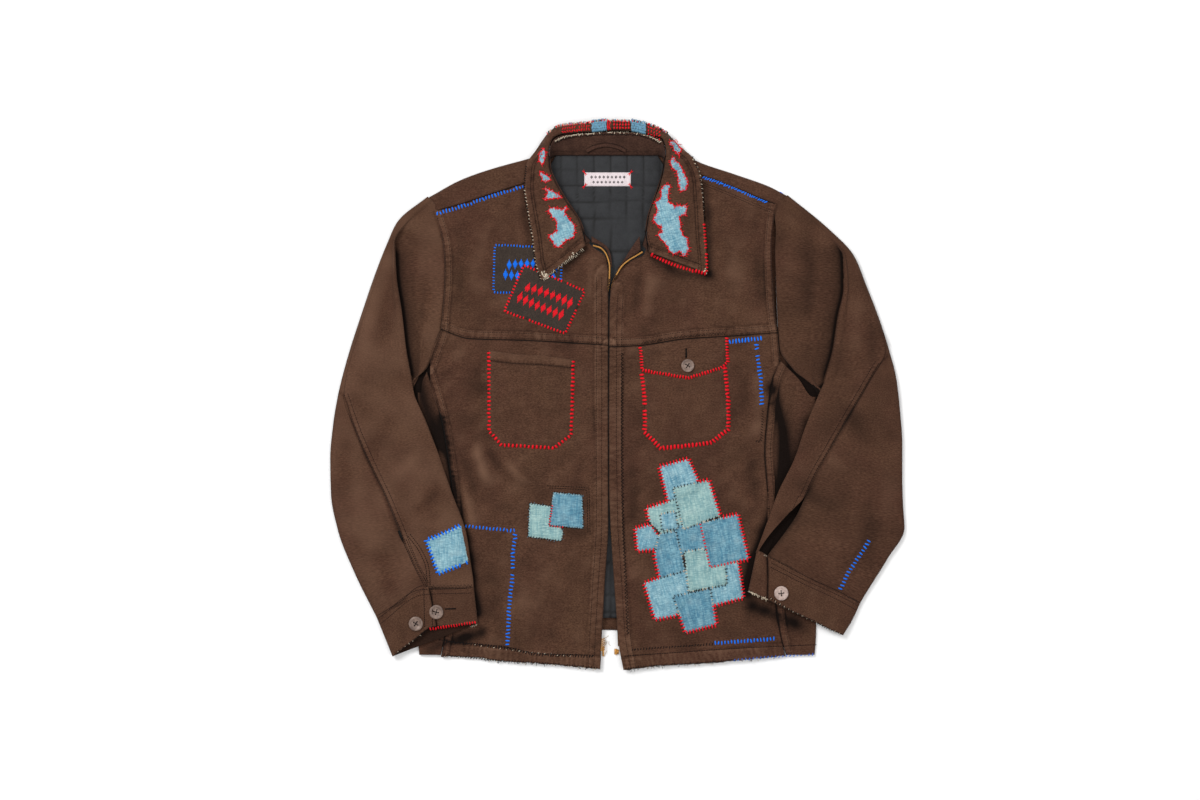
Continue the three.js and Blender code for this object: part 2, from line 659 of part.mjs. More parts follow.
// ---------------------------------------------------------------- what is sewn on

const onBody = (level) => (x, y) => bodyTop(x, y) + LAY_GAP + level;

function pockets() {
  const cloth = POCKET_THICK;
  const lay = (name, look, outline, level, thick = cloth) =>
    add(name, cutout(outline, onBody(level), thick), look);
  lay("chest_pocket_right", CLOTH, [[-176, 62], [-176, -49], [-159, -68], [-86, -72], [-63, -54],
    [-60, 49], [-99, 55], [-139, 57]], 0);
  lay("chest_pocket_left", CLOTH, [[34, 61], [34, 31], [38, -6], [38, -50], [60, -73], [129, -65],
    [153, -47], [153, -6], [149, 38], [150, 72], [92, 69]], 0);
  const flapLevel = cloth + LAY_GAP;
  lay("pocket_flap_left", CLOTH, [[32, 67.5], [34, 36], [38, 34], [98, 24], [143, 38], [153, 46],
    [151, 80.5], [91, 76.5]], flapLevel);
  lay("pocket_welt_left", CLOTH, [[207, -111], [217, -111], [217, -171], [207, -171]], 0, 1);
}

function button(name, x, y, radius, z) {
  const profile = [
    [0, 0], [radius * 0.8, 0], [radius, 0.8], [radius, 2.2], [radius * 0.88, BUTTON_THICK],
    [radius * 0.68, BUTTON_THICK - 0.3], [radius * 0.6, BUTTON_THICK - 1], [0, BUTTON_THICK - 1],
  ].map(([r, h]) => new THREE.Vector2(r, h));
  const geometry = new THREE.LatheGeometry(profile, 20);
  geometry.rotateX(Math.PI / 2);
  add(name, geometry, HORN).position.set(x, y, z);
}

function buttons() {
  const flapTop = bodyTop(97, 41) + 2 * (LAY_GAP + POCKET_THICK);
  button("flap_button_left", 97, 41, 9, flapTop + 0.4);
  const cuffTop = 8;
  button("cuff_button_right_outer", -276, -313, 10, cuffTop + restHeight(-1, -262, -310) + 1);
  button("cuff_button_right_inner", -246, -297, 10, cuffTop + restHeight(-1, -236, -297) + 4.5);
  button("cuff_button_left", 225, -271, 10, cuffTop + restHeight(1, 225, -271) + 4.5);
}

function badges() {
  const lay = (name, outline, level) => {
    add(name, cutout(outline, onBody(level), PATCH_THICK), BADGE);
  };
  lay("badge_upper", [[-168, 207], [-170, 142], [-78, 138], [-76, 203]], 0);
  lay("badge_lower", [[-128, 179], [-155, 116], [-71, 85], [-44, 144]], PATCH_THICK + 0.4);
}

// Denim patches: outline, whether pale, and how many patches deep it lies.
const CLUSTER = [
  { pale: false, level: 0, at: [[58, -98], [98, -87], [111, -115], [111, -127], [70, -144]] },
  { pale: true, level: 1, at: [[77, -127], [126, -116], [142, -163], [91, -182]] },
  { pale: true, level: 0, at: [[40, -155], [75, -145], [82, -182], [63, -191], [44, -173]] },
  { pale: false, level: 1, at: [[59, -163], [80, -159], [84.5, -183], [62, -186]] },
  { pale: false, level: 0, at: [[25, -183], [45, -177], [62, -199], [62, -211], [28, -214]] },
  { pale: false, level: 1, at: [[58, -192], [81, -188], [94, -241], [58, -249], [51, -218]] },
  { pale: true, level: 0, at: [[84, -186], [111, -179], [120, -210], [91, -213.5]] },
  { pale: false, level: 2, at: [[114, -175], [166, -163], [181, -225], [128, -236]] },
  { pale: true, level: 1, at: [[94.5, -215], [119, -210], [131, -226], [147, -236], [151, -256], [98, -264]] },
  { pale: false, level: 0, at: [[37, -260], [92, -243], [100, -270], [81, -303], [52, -308]] },
  { pale: false, level: 1, at: [[77, -277], [128, -265.5], [133, -292], [137, -315], [94, -326], [86, -303]] },
  { pale: false, level: 0, at: [[142, -236], [166, -233], [174, -278], [136, -288], [131, -263]] },
];

function patches() {
  const step = PATCH_THICK + 0.6;
  CLUSTER.forEach(({ pale, level, at }, i) => {
    const number = String(i + 1).padStart(2, "0");
    const look = pale ? DENIM_PALE : DENIM;
    add(`boro_patch_${number}`, cutout(at, onBody(level * step), PATCH_THICK), look);
  });
  const pale = [[-120, -148], [-92, -152], [-74, -188], [-76, -200], [-122, -194]];
  const over = [[-88, -133], [-48, -137], [-46, -183], [-93, -179]];
  add("small_patch_pale", cutout(pale, onBody(0), PATCH_THICK), DENIM_PALE);
  add("small_patch_over", cutout(over, onBody(step), PATCH_THICK), DENIM);
  const onSleeve = (x, y) => restHeight(-1, x, y) + SLEEVE_HIGH + LAY_GAP;
  const sleevePatch = [[-262, -199], [-214, -178], [-204, -228], [-245, -245]];
  add("sleeve_patch_right", cutout(sleevePatch, onSleeve, PATCH_THICK), DENIM_PALE);
}

function neckLabel() {
  const height = () => BACK_SHELL + LINING_THICK + 2 * SEAM_GAP;
  add("neck_label", cutout([[-45, 307], [-45, 288], [19, 288], [19, 307]], height, 0.6), LABEL);
}

backPanel();
backLining();
frontYokes();
lowerFronts();
sidePanel("side_panel_right", SIDE_SEAM.right, -1, 4);
sidePanel("side_panel_left", SIDE_SEAM.left, 1, -2);
collar();
hangerLoop();
neckLabel();
pockets();
badges();
patches();
for (const side of ["right", "left"]) {
  sleeve(side);
  cuff(side);
  facing(side);
  zipTape(side);
}
zipEnds();
buttons();
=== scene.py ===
"""The patched boro jacket, laid flat: fine cloth shells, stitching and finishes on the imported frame."""
import math

import bpy
import numpy as np
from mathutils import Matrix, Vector
from mathutils.bvhtree import BVHTree
from mathutils.geometry import delaunay_2d_cdt


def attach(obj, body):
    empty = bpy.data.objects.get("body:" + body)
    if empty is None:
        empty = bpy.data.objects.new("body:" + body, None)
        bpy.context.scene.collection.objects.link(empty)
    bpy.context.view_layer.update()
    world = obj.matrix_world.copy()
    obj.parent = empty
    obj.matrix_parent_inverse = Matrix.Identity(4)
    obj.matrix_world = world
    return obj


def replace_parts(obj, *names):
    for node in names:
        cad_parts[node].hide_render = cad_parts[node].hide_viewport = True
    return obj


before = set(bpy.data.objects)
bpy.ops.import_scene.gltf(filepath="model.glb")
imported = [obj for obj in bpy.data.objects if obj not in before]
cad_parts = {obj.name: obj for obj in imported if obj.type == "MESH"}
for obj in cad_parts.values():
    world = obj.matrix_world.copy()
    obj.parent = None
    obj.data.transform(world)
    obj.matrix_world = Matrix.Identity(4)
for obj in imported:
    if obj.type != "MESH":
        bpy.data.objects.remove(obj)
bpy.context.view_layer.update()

MM = 0.001
rng = np.random.default_rng(11)

# Driving sizes, in millimetres, as the frame's
HALF_CHEST = 275
BODY_HIGH = 10.5
BODY_LOW = 5.2  # the lowest that the front cloth comes
EDGE_DROP = 3.5  # fall of the front towards the side folds
SHOULDER_DROP = 3
HEM_DROP = 4
DEEPEST = -3.0  # the deepest crease that stays clear of the lining
SEAM_GAP = 0.3
CLOTH = 1.6  # a front's thickness
THIN = 1.2  # the same for the back and the side panels
QUILT_SQUARE = 22.6
SLEEVE_HIGH = 11
SLEEVE_EDGE = 3.6
TOOTH_PITCH = 2.1
CUFF_DEEP = 58
CUFF_THICK = 2.2
CUFF_HIGH = 8
STITCH_SHARE = 0.72  # how much of a machine stitch's pitch is thread
MISSED = 0.012  # chance that a hand stitch is worn away
SHEET_LEAST = 10.2  # the narrowest size that is given for a sheet
AREA_LEAST = 0.31  # the least area of a sheet against its width and length
STEP = 3.2  # spacing of the points on the large panels
EDGE_STEP = 1.4  # the same along their seams
EDGE_ZONE = 13


# ------------------------------------------------------------------ curves and grids


def smooth(v):
    """0 to 1 with a soft start and a soft end."""
    v = np.clip(v, 0, 1)
    return v * v * (3 - 2 * v)


def bell(distance, half):
    """1 at no distance, falling away smoothly on both sides."""
    return np.exp(-((distance / half) ** 2))


def mix(a, b, t):
    """From a to b by a share t."""
    return a + (b - a) * t


def through(values, param, at):
    """Rows of values at new parameters, along cubics that pass through them and never overshoot."""
    values = np.asarray(values, float)
    shape = (-1,) + (1,) * (values.ndim - 1)
    steps = np.diff(param)
    slopes = np.diff(values, axis=0) / steps.reshape(shape)
    tangents = np.empty_like(values)
    tangents[0], tangents[-1] = slopes[0], slopes[-1]
    before, after = slopes[:-1], slopes[1:]
    same = before * after > 0
    total = np.where(same, before + after, 1)
    tangents[1:-1] = np.where(same, 2 * before * after / total, 0)
    at = np.clip(at, param[0], param[-1])
    k = np.clip(np.searchsorted(param, at, side="right") - 1, 0, len(steps) - 1)
    h = steps[k].reshape(shape)
    t = ((at - param[k]) / steps[k]).reshape(shape)
    a, b, ma, mb = values[k], values[k + 1], tangents[k] * h, tangents[k + 1] * h
    return (
        (2 * t**3 - 3 * t**2 + 1) * a + (t**3 - 2 * t**2 + t) * ma
        + (3 * t**2 - 2 * t**3) * b + (t**3 - t**2) * mb
    )


def lengths(points):
    """Distance along a list of points, never standing still."""
    gaps = np.linalg.norm(np.diff(np.asarray(points, float), axis=0), axis=1)
    return np.concatenate([[0], np.cumsum(np.maximum(gaps, 1e-3))])


def dense(points):
    """A smooth line through points, in many short steps."""
    points = np.asarray(points, float)
    if len(points) == 2:
        return points
    param = lengths(points)
    return through(points, param, np.linspace(0, param[-1], 12 * len(points)))


def line(points, at, curved=True):
    """Points at shares (0 to 1) of a line's length, or at count + 1 equal steps."""
    points = dense(points) if curved else np.asarray(points, float)
    shares = np.linspace(0, 1, at + 1) if isinstance(at, int) else at
    along = lengths(points)
    return np.stack(
        [np.interp(shares * along[-1], along, points[:, k]) for k in range(points.shape[1])], axis=1
    )


def spacing(length, step=STEP, edge=EDGE_STEP, zone=EDGE_ZONE):
    """Shares from 0 to 1 of a length in mm, closer together near both ends."""
    zone = min(zone, length / 3)
    near = np.linspace(0, zone, max(2, round(zone / edge)) + 1)
    middle = np.linspace(zone, length - zone, max(2, round((length - 2 * zone) / step)) + 1)
    return np.concatenate([near, middle[1:-1], length - near[::-1]]) / length


def mean_steps(net, axis):
    """Mean distances along one axis of a net, added up."""
    gaps = np.linalg.norm(np.diff(net, axis=axis), axis=2).mean(axis=1 - axis)
    return np.concatenate([[0], np.cumsum(np.maximum(gaps, 1e-2))])


def loft(rows, row_at, col_at):
    """A grid of points through rows that run the same way."""
    lines = np.stack([line(row, col_at) for row in rows])
    param = mean_steps(lines, 0)
    return through(lines, param, row_at * param[-1])


def refine(net, row_at, col_at):
    """A smooth surface through a net of control points."""
    net = np.asarray(net, float)
    down, across = mean_steps(net, 0), mean_steps(net, 1)
    rows = through(net, down, row_at * down[-1])
    return through(rows.swapaxes(0, 1), across, col_at * across[-1]).swapaxes(0, 1)


def offset(points, distance):
    """A line moved to its left by a distance."""
    points = dense(points)
    run = np.gradient(points[:, :2], axis=0)
    run /= np.maximum(np.linalg.norm(run, axis=1, keepdims=True), 1e-9)
    moved = points.copy()
    moved[:, 0] -= run[:, 1] * distance
    moved[:, 1] += run[:, 0] * distance
    return moved


def nearest(x, y, points):
    """Distance to a polyline, the place along it, and the side: positive on its left."""
    along = lengths(points)
    best = np.full(x.shape, 1e9)
    place = np.zeros(x.shape)
    side = np.ones(x.shape)
    for k in range(len(points) - 1):
        (ax, ay), (bx, by) = points[k], points[k + 1]
        dx, dy = bx - ax, by - ay
        long2 = dx * dx + dy * dy + 1e-9
        t = np.clip(((x - ax) * dx + (y - ay) * dy) / long2, 0, 1)
        d = np.hypot(x - ax - t * dx, y - ay - t * dy)
        closer = d < best
        best = np.where(closer, d, best)
        place = np.where(closer, along[k] + t * math.sqrt(long2), place)
        side = np.where(closer, np.sign(dx * (y - ay) - dy * (x - ax)), side)
    return best, place, side


def wobble(x, y, size, seed):
    """Smooth waves of about the given size, between -1 and 1."""
    draw = np.random.default_rng(seed)
    total = np.zeros(np.shape(x))
    for _ in range(7):
        angle, phase = draw.uniform(0, 2 * math.pi, 2)
        k = 2 * math.pi / (size * draw.uniform(0.7, 1.5))
        total += np.sin(k * (x * math.cos(angle) + y * math.sin(angle)) + phase)
    return total / 4


# ------------------------------------------------------------------ meshes


def new_object(name, vertices, faces, material, wear_and_shade=None, weave=None):
    """A mesh from points in mm, with its wear and painted light and shade (-1 dark to 1 pale) and thread
    directions.
    """
    vertices = np.asarray(vertices, float)
    mesh = bpy.data.meshes.new(name)
    mesh.from_pydata((vertices * MM).tolist(), [], faces)
    if wear_and_shade is None:
        wear_and_shade = np.zeros(len(vertices))
    if weave is None:
        weave = vertices
    layer = mesh.attributes.new("wear_and_shade", "FLOAT", "POINT")
    layer.data.foreach_set("value", np.asarray(wear_and_shade, np.float32))
    layer = mesh.attributes.new("weave", "FLOAT_VECTOR", "POINT")
    layer.data.foreach_set("vector", (np.asarray(weave) * MM).astype(np.float32).ravel())
    mesh.polygons.foreach_set("use_smooth", [True] * len(mesh.polygons))
    mesh.update()
    obj = bpy.data.objects.new(name, mesh)
    bpy.context.scene.collection.objects.link(obj)
    obj.data.materials.append(material)
    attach(obj, "root")
    return obj


def grid_normals(grid):
    """The direction out of a grid at each of its points."""
    n = np.cross(np.gradient(grid, axis=1), np.gradient(grid, axis=0))
    return n / np.maximum(np.linalg.norm(n, axis=2, keepdims=True), 1e-9)


def quads_of(rows, cols, start=0):
    """The faces of a grid whose points are numbered row by row."""
    ids = np.arange(rows * cols).reshape(rows, cols) + start
    return np.stack([ids[:-1, :-1], ids[:-1, 1:], ids[1:, 1:], ids[1:, :-1]], -1).reshape(-1, 4)


def shell(name, grid, material, thickness, wear_and_shade=None, up=True, on_grid=False):
    """A thin closed wall. Its outer face is the grid, and up says whether that face's normal
    is the grid's own. on_grid runs the weave along the grid and not along the frame."""
    rows, cols = grid.shape[:2]
    count = rows * cols
    inner = grid - grid_normals(grid) * (thickness if up else -thickness)
    vertices = np.concatenate([grid.reshape(-1, 3), inner.reshape(-1, 3)])
    outer_quads = quads_of(rows, cols)
    ids = np.arange(count).reshape(rows, cols)
    rim = np.concatenate([ids[0, :], ids[1:, -1], ids[-1, -2::-1], ids[-2:0:-1, 0]])
    after = np.roll(rim, -1)
    sides = np.stack([rim, rim + count, after + count, after], -1)
    faces = np.concatenate([outer_quads, quads_of(rows, cols, count)[:, ::-1], sides])
    if not up:
        faces = faces[:, ::-1]
    if wear_and_shade is not None:
        wear_and_shade = np.concatenate([wear_and_shade.ravel(), wear_and_shade.ravel()])
    weave = None
    if on_grid:
        u, v = np.meshgrid(mean_steps(grid, 1), mean_steps(grid, 0))
        flat = np.dstack([u, v, np.zeros(u.shape)]).reshape(-1, 3)
        weave = np.concatenate([flat, flat])
    return new_object(name, vertices, faces.tolist(), material, wear_and_shade, weave)


def cut(grid):
    """The flat size that a grid of cloth was cut to: (width, length) and area, in metres."""
    across = np.linalg.norm(np.diff(grid, axis=1), axis=2).sum(axis=1).max()
    along = np.linalg.norm(np.diff(grid, axis=0), axis=2).sum(axis=0).max()
    step = np.cross(np.diff(grid, axis=1)[:-1], np.diff(grid, axis=0)[:, :-1])
    area = min(np.linalg.norm(step, axis=2).sum(), across * along)
    return (across * MM, along * MM), area * MM * MM


def cloth(obj, nodes):
    """Hide the CAD nodes that a sheet of cloth stands for."""
    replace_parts(obj, *nodes)
    return obj


class Ground:
    """What has been laid so far, seen from straight above: heights for what comes on top."""

    def __init__(self):
        self.trees = []

    def lay(self, vertices, faces):
        """Add faces to what lies there."""
        points = (np.asarray(vertices) * MM).tolist()
        self.trees.append(BVHTree.FromPolygons(points, [tuple(f) for f in faces]))

    def lay_grid(self, grid):
        self.lay(grid.reshape(-1, 3), quads_of(*grid.shape[:2]).tolist())

    def height(self, x, y):
        """How high the topmost thing is at a place, in mm."""
        top = 0.0
        for tree in self.trees:
            hit = tree.ray_cast(Vector((x * MM, y * MM, 0.1)), Vector((0, 0, -1)))[0]
            if hit is not None:
                top = max(top, hit.z)
        return top / MM

    def heights(self, xy):
        return np.array([self.height(x, y) for x, y in xy])


ground = Ground()


# ------------------------------------------------------------------ materials


def srgb(red, green, blue):
    """A colour from 0 to 255 as the linear one that materials take."""
    def linear(v):
        v /= 255
        return v / 12.92 if v <= 0.04045 else ((v + 0.055) / 1.055) ** 2.4
    return (linear(red), linear(green), linear(blue), 1)


class Look:
    """A material's node tree, with short calls for the nodes used here."""

    def __init__(self, name):
        self.material = bpy.data.materials.new(name)
        self.material.use_nodes = True
        self.tree = self.material.node_tree
        self.shader = self.tree.nodes["Principled BSDF"]

    def node(self, kind, inputs, **settings):
        made = self.tree.nodes.new(kind)
        for key, value in settings.items():
            setattr(made, key, value)
        for key, value in inputs.items():
            self.set(made.inputs[key], value)
        return made

    def set(self, socket, value):
        if isinstance(value, bpy.types.NodeSocket):
            self.tree.links.new(value, socket)
        else:
            socket.default_value = value

    def attribute(self, name, output):
        return self.node("ShaderNodeAttribute", {}, attribute_name=name).outputs[output]

    def scaled(self, vector, scale):
        made = self.node("ShaderNodeMapping", {"Vector": vector, "Scale": scale})
        return made.outputs["Vector"]

    def noise(self, vector, scale, detail=2.0, rough=0.5):
        made = self.node(
            "ShaderNodeTexNoise",
            {"Vector": vector, "Scale": scale, "Detail": detail, "Roughness": rough},
        )
        return made.outputs["Fac"]

    def span(self, value, low, high, to_low=0.0, to_high=1.0):
        inputs = {
            "Value": value, "From Min": low, "From Max": high, "To Min": to_low, "To Max": to_high,
        }
        return self.node("ShaderNodeMapRange", inputs, clamp=True).outputs["Result"]

    def math(self, operation, a, b):
        made = self.node("ShaderNodeMath", {0: a, 1: b}, operation=operation)
        return made.outputs["Value"]

    def mix(self, share, a, b, blend="MIX"):
        made = self.node("ShaderNodeMix", {}, data_type="RGBA", blend_type=blend)
        self.set(made.inputs["Factor"], share)
        self.set(made.inputs["A"], a)
        self.set(made.inputs["B"], b)
        return made.outputs["Result"]

    def bump(self, height, distance, strength=1.0, under=None):
        inputs = {"Height": height, "Distance": distance, "Strength": strength}
        if under is not None:
            inputs["Normal"] = under
        return self.node("ShaderNodeBump", inputs).outputs["Normal"]

    def finish(self, **sockets):
        for key, value in sockets.items():
            self.set(self.shader.inputs[key.replace("_", " ")], value)
        return self.material


def twill(name, lit, dark, worn, drift):
    """Washed cotton twill: a fine cross grain and cloudy fading, with worn pale ridges, painted light on
    crests, and painted shade in folds and grooves.
    """
    look = Look(name)
    weave = look.attribute("weave", "Vector")
    wear_and_shade = look.attribute("wear_and_shade", "Fac")
    grain = look.noise(look.scaled(weave, (420, 900, 420)), 1.0, 2.0, 0.6)
    streak = look.noise(look.scaled(weave, (70, 760, 400)), 1.0, 3.0, 0.6)
    cloud = look.noise(weave, 22.0, 4.0, 0.62)
    patchy = look.noise(look.scaled(weave, (11, 7, 9)), 1.0, 4.0, 0.6)
    colour = look.mix(look.span(patchy, 0.36, 0.66, 0.0, 0.6), lit, drift)
    colour = look.mix(look.span(cloud, 0.38, 0.66, 0.0, 0.42), colour, dark)
    colour = look.mix(look.span(streak, 0.4, 0.66, 0.0, 0.2), colour, worn)
    colour = look.mix(look.span(grain, 0.38, 0.62, 0.0, 0.7), colour, dark)
    # Positive values: worn edges and bands made paler, and painted light on the crests of creases and
    # puckers.
    colour = look.mix(look.span(wear_and_shade, 0.02, 1.0, 0.0, 0.85), colour, worn)
    # Negative values, down to near black: painted shade in folds, grooves, under the sleeves and under the
    # cuffs' laps.
    colour = look.mix(look.span(wear_and_shade, -0.02, -0.8, 0.0, 0.97), colour, (*[v * 0.12 for v in dark[:3]], 1))
    coarse = look.bump(cloud, 0.0016, 0.35)
    fine = look.bump(look.math("ADD", grain, streak), 0.00035, 0.8, coarse)
    return look.finish(
        Base_Color=colour, Roughness=look.span(grain, 0.2, 0.8, 0.82, 0.97), Normal=fine,
        Specular_IOR_Level=0.1, Sheen_Weight=0.03, Sheen_Roughness=0.5,
    )


def denim(name, lit, deep, pale, fade):
    """Faded denim: pale weft threads over blue, scuffed lighter where it is proud."""
    look = Look(name)
    weave = look.attribute("weave", "Vector")
    wear_and_shade = look.attribute("wear_and_shade", "Fac")
    slub = look.noise(look.scaled(weave, (520, 60, 520)), 1.0, 3.0, 0.7)
    thread = look.noise(look.scaled(weave, (140, 1000, 600)), 1.0, 2.0, 0.6)
    cloud = look.noise(weave, 55.0, 4.0, 0.65)
    colour = look.mix(look.span(slub, 0.42, 0.58, 0.0, 0.9), lit, pale)
    colour = look.mix(look.span(thread, 0.4, 0.6, 0.0, 0.7), colour, deep)
    colour = look.mix(look.span(cloud, 0.35, 0.75, 0.0, fade), colour, pale)
    colour = look.mix(look.span(wear_and_shade, 0.0, 1.0), colour, srgb(200, 210, 202))
    colour = look.mix(look.span(wear_and_shade, 0.0, -1.0, 0.0, 0.8), colour, (*[v * 0.35 for v in deep[:3]], 1))
    fine = look.bump(look.math("ADD", slub, thread), 0.0005, 0.9)
    return look.finish(
        Base_Color=colour, Roughness=0.93, Normal=fine, Specular_IOR_Level=0.2,
    )


def quilted(name):
    """The padded lining: dark plain weave with a faint lustre."""
    look = Look(name)
    weave = look.attribute("weave", "Vector")
    wear_and_shade = look.attribute("wear_and_shade", "Fac")
    grain = look.noise(look.scaled(weave, (800, 800, 800)), 1.0, 2.0)
    cloud = look.noise(weave, 45.0, 3.0, 0.6)
    colour = look.mix(look.span(cloud, 0.3, 0.7), srgb(41, 42, 44), srgb(31, 31, 33))
    colour = look.mix(look.span(grain, 0.35, 0.65, 0.0, 0.4), colour, srgb(50, 51, 54))
    # Negative values darken it: painted shade in the quilting grooves.
    colour = look.mix(look.span(wear_and_shade, 0.0, -1.0), colour, srgb(12, 11, 11))
    return look.finish(
        Base_Color=colour, Roughness=0.72, Normal=look.bump(grain, 0.0002, 0.6),
        Specular_IOR_Level=0.3,
    )


def felt(name, lit, dark):
    """A dense flat weave for the badges and the label."""
    look = Look(name)
    weave = look.attribute("weave", "Vector")
    wear_and_shade = look.attribute("wear_and_shade", "Fac")
    grain = look.noise(look.scaled(weave, (700, 700, 700)), 1.0, 2.0, 0.6)
    cloud = look.noise(weave, 60.0, 3.0, 0.6)
    colour = look.mix(look.span(grain, 0.3, 0.7), lit, dark)
    colour = look.mix(look.span(cloud, 0.35, 0.7, 0.0, 0.4), colour, dark)
    colour = look.mix(look.span(wear_and_shade, 0.0, -1.0, 0.0, 0.8), colour, (*[v * 0.3 for v in dark[:3]], 1))
    return look.finish(
        Base_Color=colour, Roughness=0.9, Normal=look.bump(grain, 0.0003, 0.7),
        Specular_IOR_Level=0.2,
    )


def yarn(name, lit, dark, shine=0.3):
    """Stitching thread, with its ply."""
    look = Look(name)
    place = look.node("ShaderNodeTexCoord", {}).outputs["Object"]
    ply = look.noise(look.scaled(place, (1600, 1600, 1600)), 1.0, 1.0)
    tone = look.noise(place, 130.0, 2.0)
    colour = look.mix(look.span(ply, 0.35, 0.65, 0.0, 0.7), lit, dark)
    colour = look.mix(look.span(tone, 0.35, 0.7, 0.0, 0.35), colour, dark)
    return look.finish(
        Base_Color=colour, Roughness=0.62, Normal=look.bump(ply, 0.0003, 0.6),
        Specular_IOR_Level=shine,
    )


def horn(name, lit, dark):
    look = Look(name)
    place = look.node("ShaderNodeTexCoord", {}).outputs["Object"]
    cloud = look.noise(place, 160.0, 4.0, 0.6)
    fine = look.noise(place, 1500.0, 2.0)
    colour = look.mix(look.span(cloud, 0.35, 0.65), lit, dark)
    return look.finish(
        Base_Color=colour, Roughness=look.span(cloud, 0.3, 0.7, 0.35, 0.55),
        Normal=look.bump(fine, 0.0001, 0.3), Specular_IOR_Level=0.4,
    )


def brass(name):
    look = Look(name)
    place = look.node("ShaderNodeTexCoord", {}).outputs["Object"]
    cloud = look.noise(place, 400.0, 3.0)
    colour = look.mix(look.span(cloud, 0.35, 0.65), srgb(228, 168, 84), srgb(180, 124, 52))
    return look.finish(
        Base_Color=colour, Metallic=0.35, Roughness=look.span(cloud, 0.3, 0.7, 0.3, 0.5),
    )


BROWN_DARK = srgb(50, 31, 22)
BROWN = twill("brown_twill", srgb(88, 61, 45), BROWN_DARK, srgb(118, 88, 70), srgb(77, 46, 37))
BROWN_TAPE = twill("brown_tape", srgb(80, 54, 43), srgb(44, 28, 23), srgb(98, 72, 58), srgb(58, 38, 32))
LINING = quilted("quilted_lining")
DENIM_PALE = denim("denim_pale", srgb(120, 162, 166), srgb(80, 124, 136), srgb(168, 198, 192), 0.6)
DENIM_MID = denim("denim_mid", srgb(100, 152, 172), srgb(60, 108, 134), srgb(158, 196, 204), 0.5)
DENIM_DEEP = denim("denim_deep", srgb(80, 134, 158), srgb(44, 90, 118), srgb(130, 174, 188), 0.4)
BADGE = felt("badge_cloth", srgb(68, 57, 49), srgb(42, 34, 30))
LABEL = felt("label_cloth", srgb(232, 220, 222), srgb(212, 198, 200))
RED = yarn("red_thread", srgb(240, 24, 40), srgb(190, 10, 26), 0.15)
BLUE = yarn("blue_thread", srgb(24, 126, 242), srgb(8, 88, 210), 0.15)
PALE_BLUE = yarn("pale_blue_thread", srgb(120, 168, 190), srgb(84, 128, 156), 0.15)
DARK = yarn("dark_thread", srgb(22, 16, 15), srgb(9, 7, 6), 0.1)
BROWN_THREAD = yarn("brown_thread", srgb(44, 28, 23), srgb(28, 17, 14), 0.1)
CREAM = yarn("cream_thread", srgb(222, 208, 186), srgb(160, 142, 120), 0.15)
GOLD = yarn("gold_thread", srgb(206, 150, 74), srgb(140, 92, 38), 0.3)
HORN = horn("horn", srgb(138, 116, 104), srgb(92, 74, 66))
HORN_PALE = horn("horn_pale", srgb(196, 174, 164), srgb(144, 122, 114))
BRASS = brass("brass")


# ------------------------------------------------------------------ threads


# A stitch from end to end: the share of the way, of its half width, and of its height
BAR_SHAPE = ((0, 0.35, -0.25), (0.14, 0.85, 0.3), (0.5, 1, 0.5), (0.86, 0.85, 0.3), (1, 0.35, -0.25))


class Threads:
    """Many short threads gathered into one mesh."""

    def __init__(self):
        self.vertices, self.faces = [], []

    def tube(self, points, radii, sides=6, squash=1.0):
        """A tapered tube along a few points; squash flattens it in Z."""
        points = np.asarray(points, float)
        run = np.gradient(points, axis=0)
        run /= np.maximum(np.linalg.norm(run, axis=1, keepdims=True), 1e-9)
        across = np.cross(run, [0, 0, 1.0])
        size = np.linalg.norm(across, axis=1, keepdims=True)
        across = np.where(size > 1e-3, across / np.maximum(size, 1e-9), [1.0, 0, 0])
        rise = np.cross(across, run)
        base = len(self.vertices)
        for p, a, r, radius in zip(points, across, rise, radii):
            for k in range(sides):
                turn = 2 * math.pi * k / sides
                self.vertices.append(p + a * math.cos(turn) * radius + r * math.sin(turn) * radius * squash)
        for i in range(len(points) - 1):
            for k in range(sides):
                a, b = base + i * sides + k, base + i * sides + (k + 1) % sides
                self.faces.append((a, b, b + sides, a + sides))
        end = base + (len(points) - 1) * sides
        self.faces.append(tuple(base + k for k in range(sides))[::-1])
        self.faces.append(tuple(end + k for k in range(sides)))

    def bar(self, a, b, width, high=0.55):
        """A plump stitch from a to b ([x, y]) on whatever is there."""
        a, b = np.asarray(a, float), np.asarray(b, float)
        ends = np.array([ground.height(*a), ground.height(*b)])
        middle = ground.height(*mix(a, b, 0.5))
        top = max(middle, ends.max() - 1.5, ends.mean())
        ends = np.maximum(ends, top - 3.0)
        points, radii = [], []
        for t, share, up in BAR_SHAPE:
            base = mix(mix(ends[0], top, min(1, 2 * t)), mix(top, ends[1], max(0, 2 * t - 1)), t)
            points.append([*mix(a, b, t), base + up * high])
            radii.append(width / 2 * share)
        self.tube(points, radii, 5, min(1.0, 1.3 * high / (width / 2) * 0.75))

    def dash(self, a, b, width):
        """A small machine stitch from a to b."""
        za, zb = ground.height(*a), ground.height(*b)
        middle = mix(np.asarray(a, float), np.asarray(b, float), 0.5)
        points = [[*a, za - 0.1], [*middle, (za + zb) / 2 + 0.25], [*b, zb - 0.1]]
        self.tube(points, [width * 0.4, width * 0.55, width * 0.4], 4)

    def hair(self, start, angle, length, width, curl, high):
        """A loose thread end."""
        points = []
        x, y = start
        z = ground.height(x, y)
        bend = rng.normal(0, curl)
        for k in range(6):
            points.append([x, y, max(z + high * math.sin(math.pi * k / 6), 0.3)])
            x += math.cos(angle) * length / 5
            y += math.sin(angle) * length / 5
            angle += bend / 3
        self.tube(points, [width / 2] * 6, 4)

    def make(self, name, material, slot="thread"):
        obj = new_object(name, self.vertices, self.faces, material)
        return obj


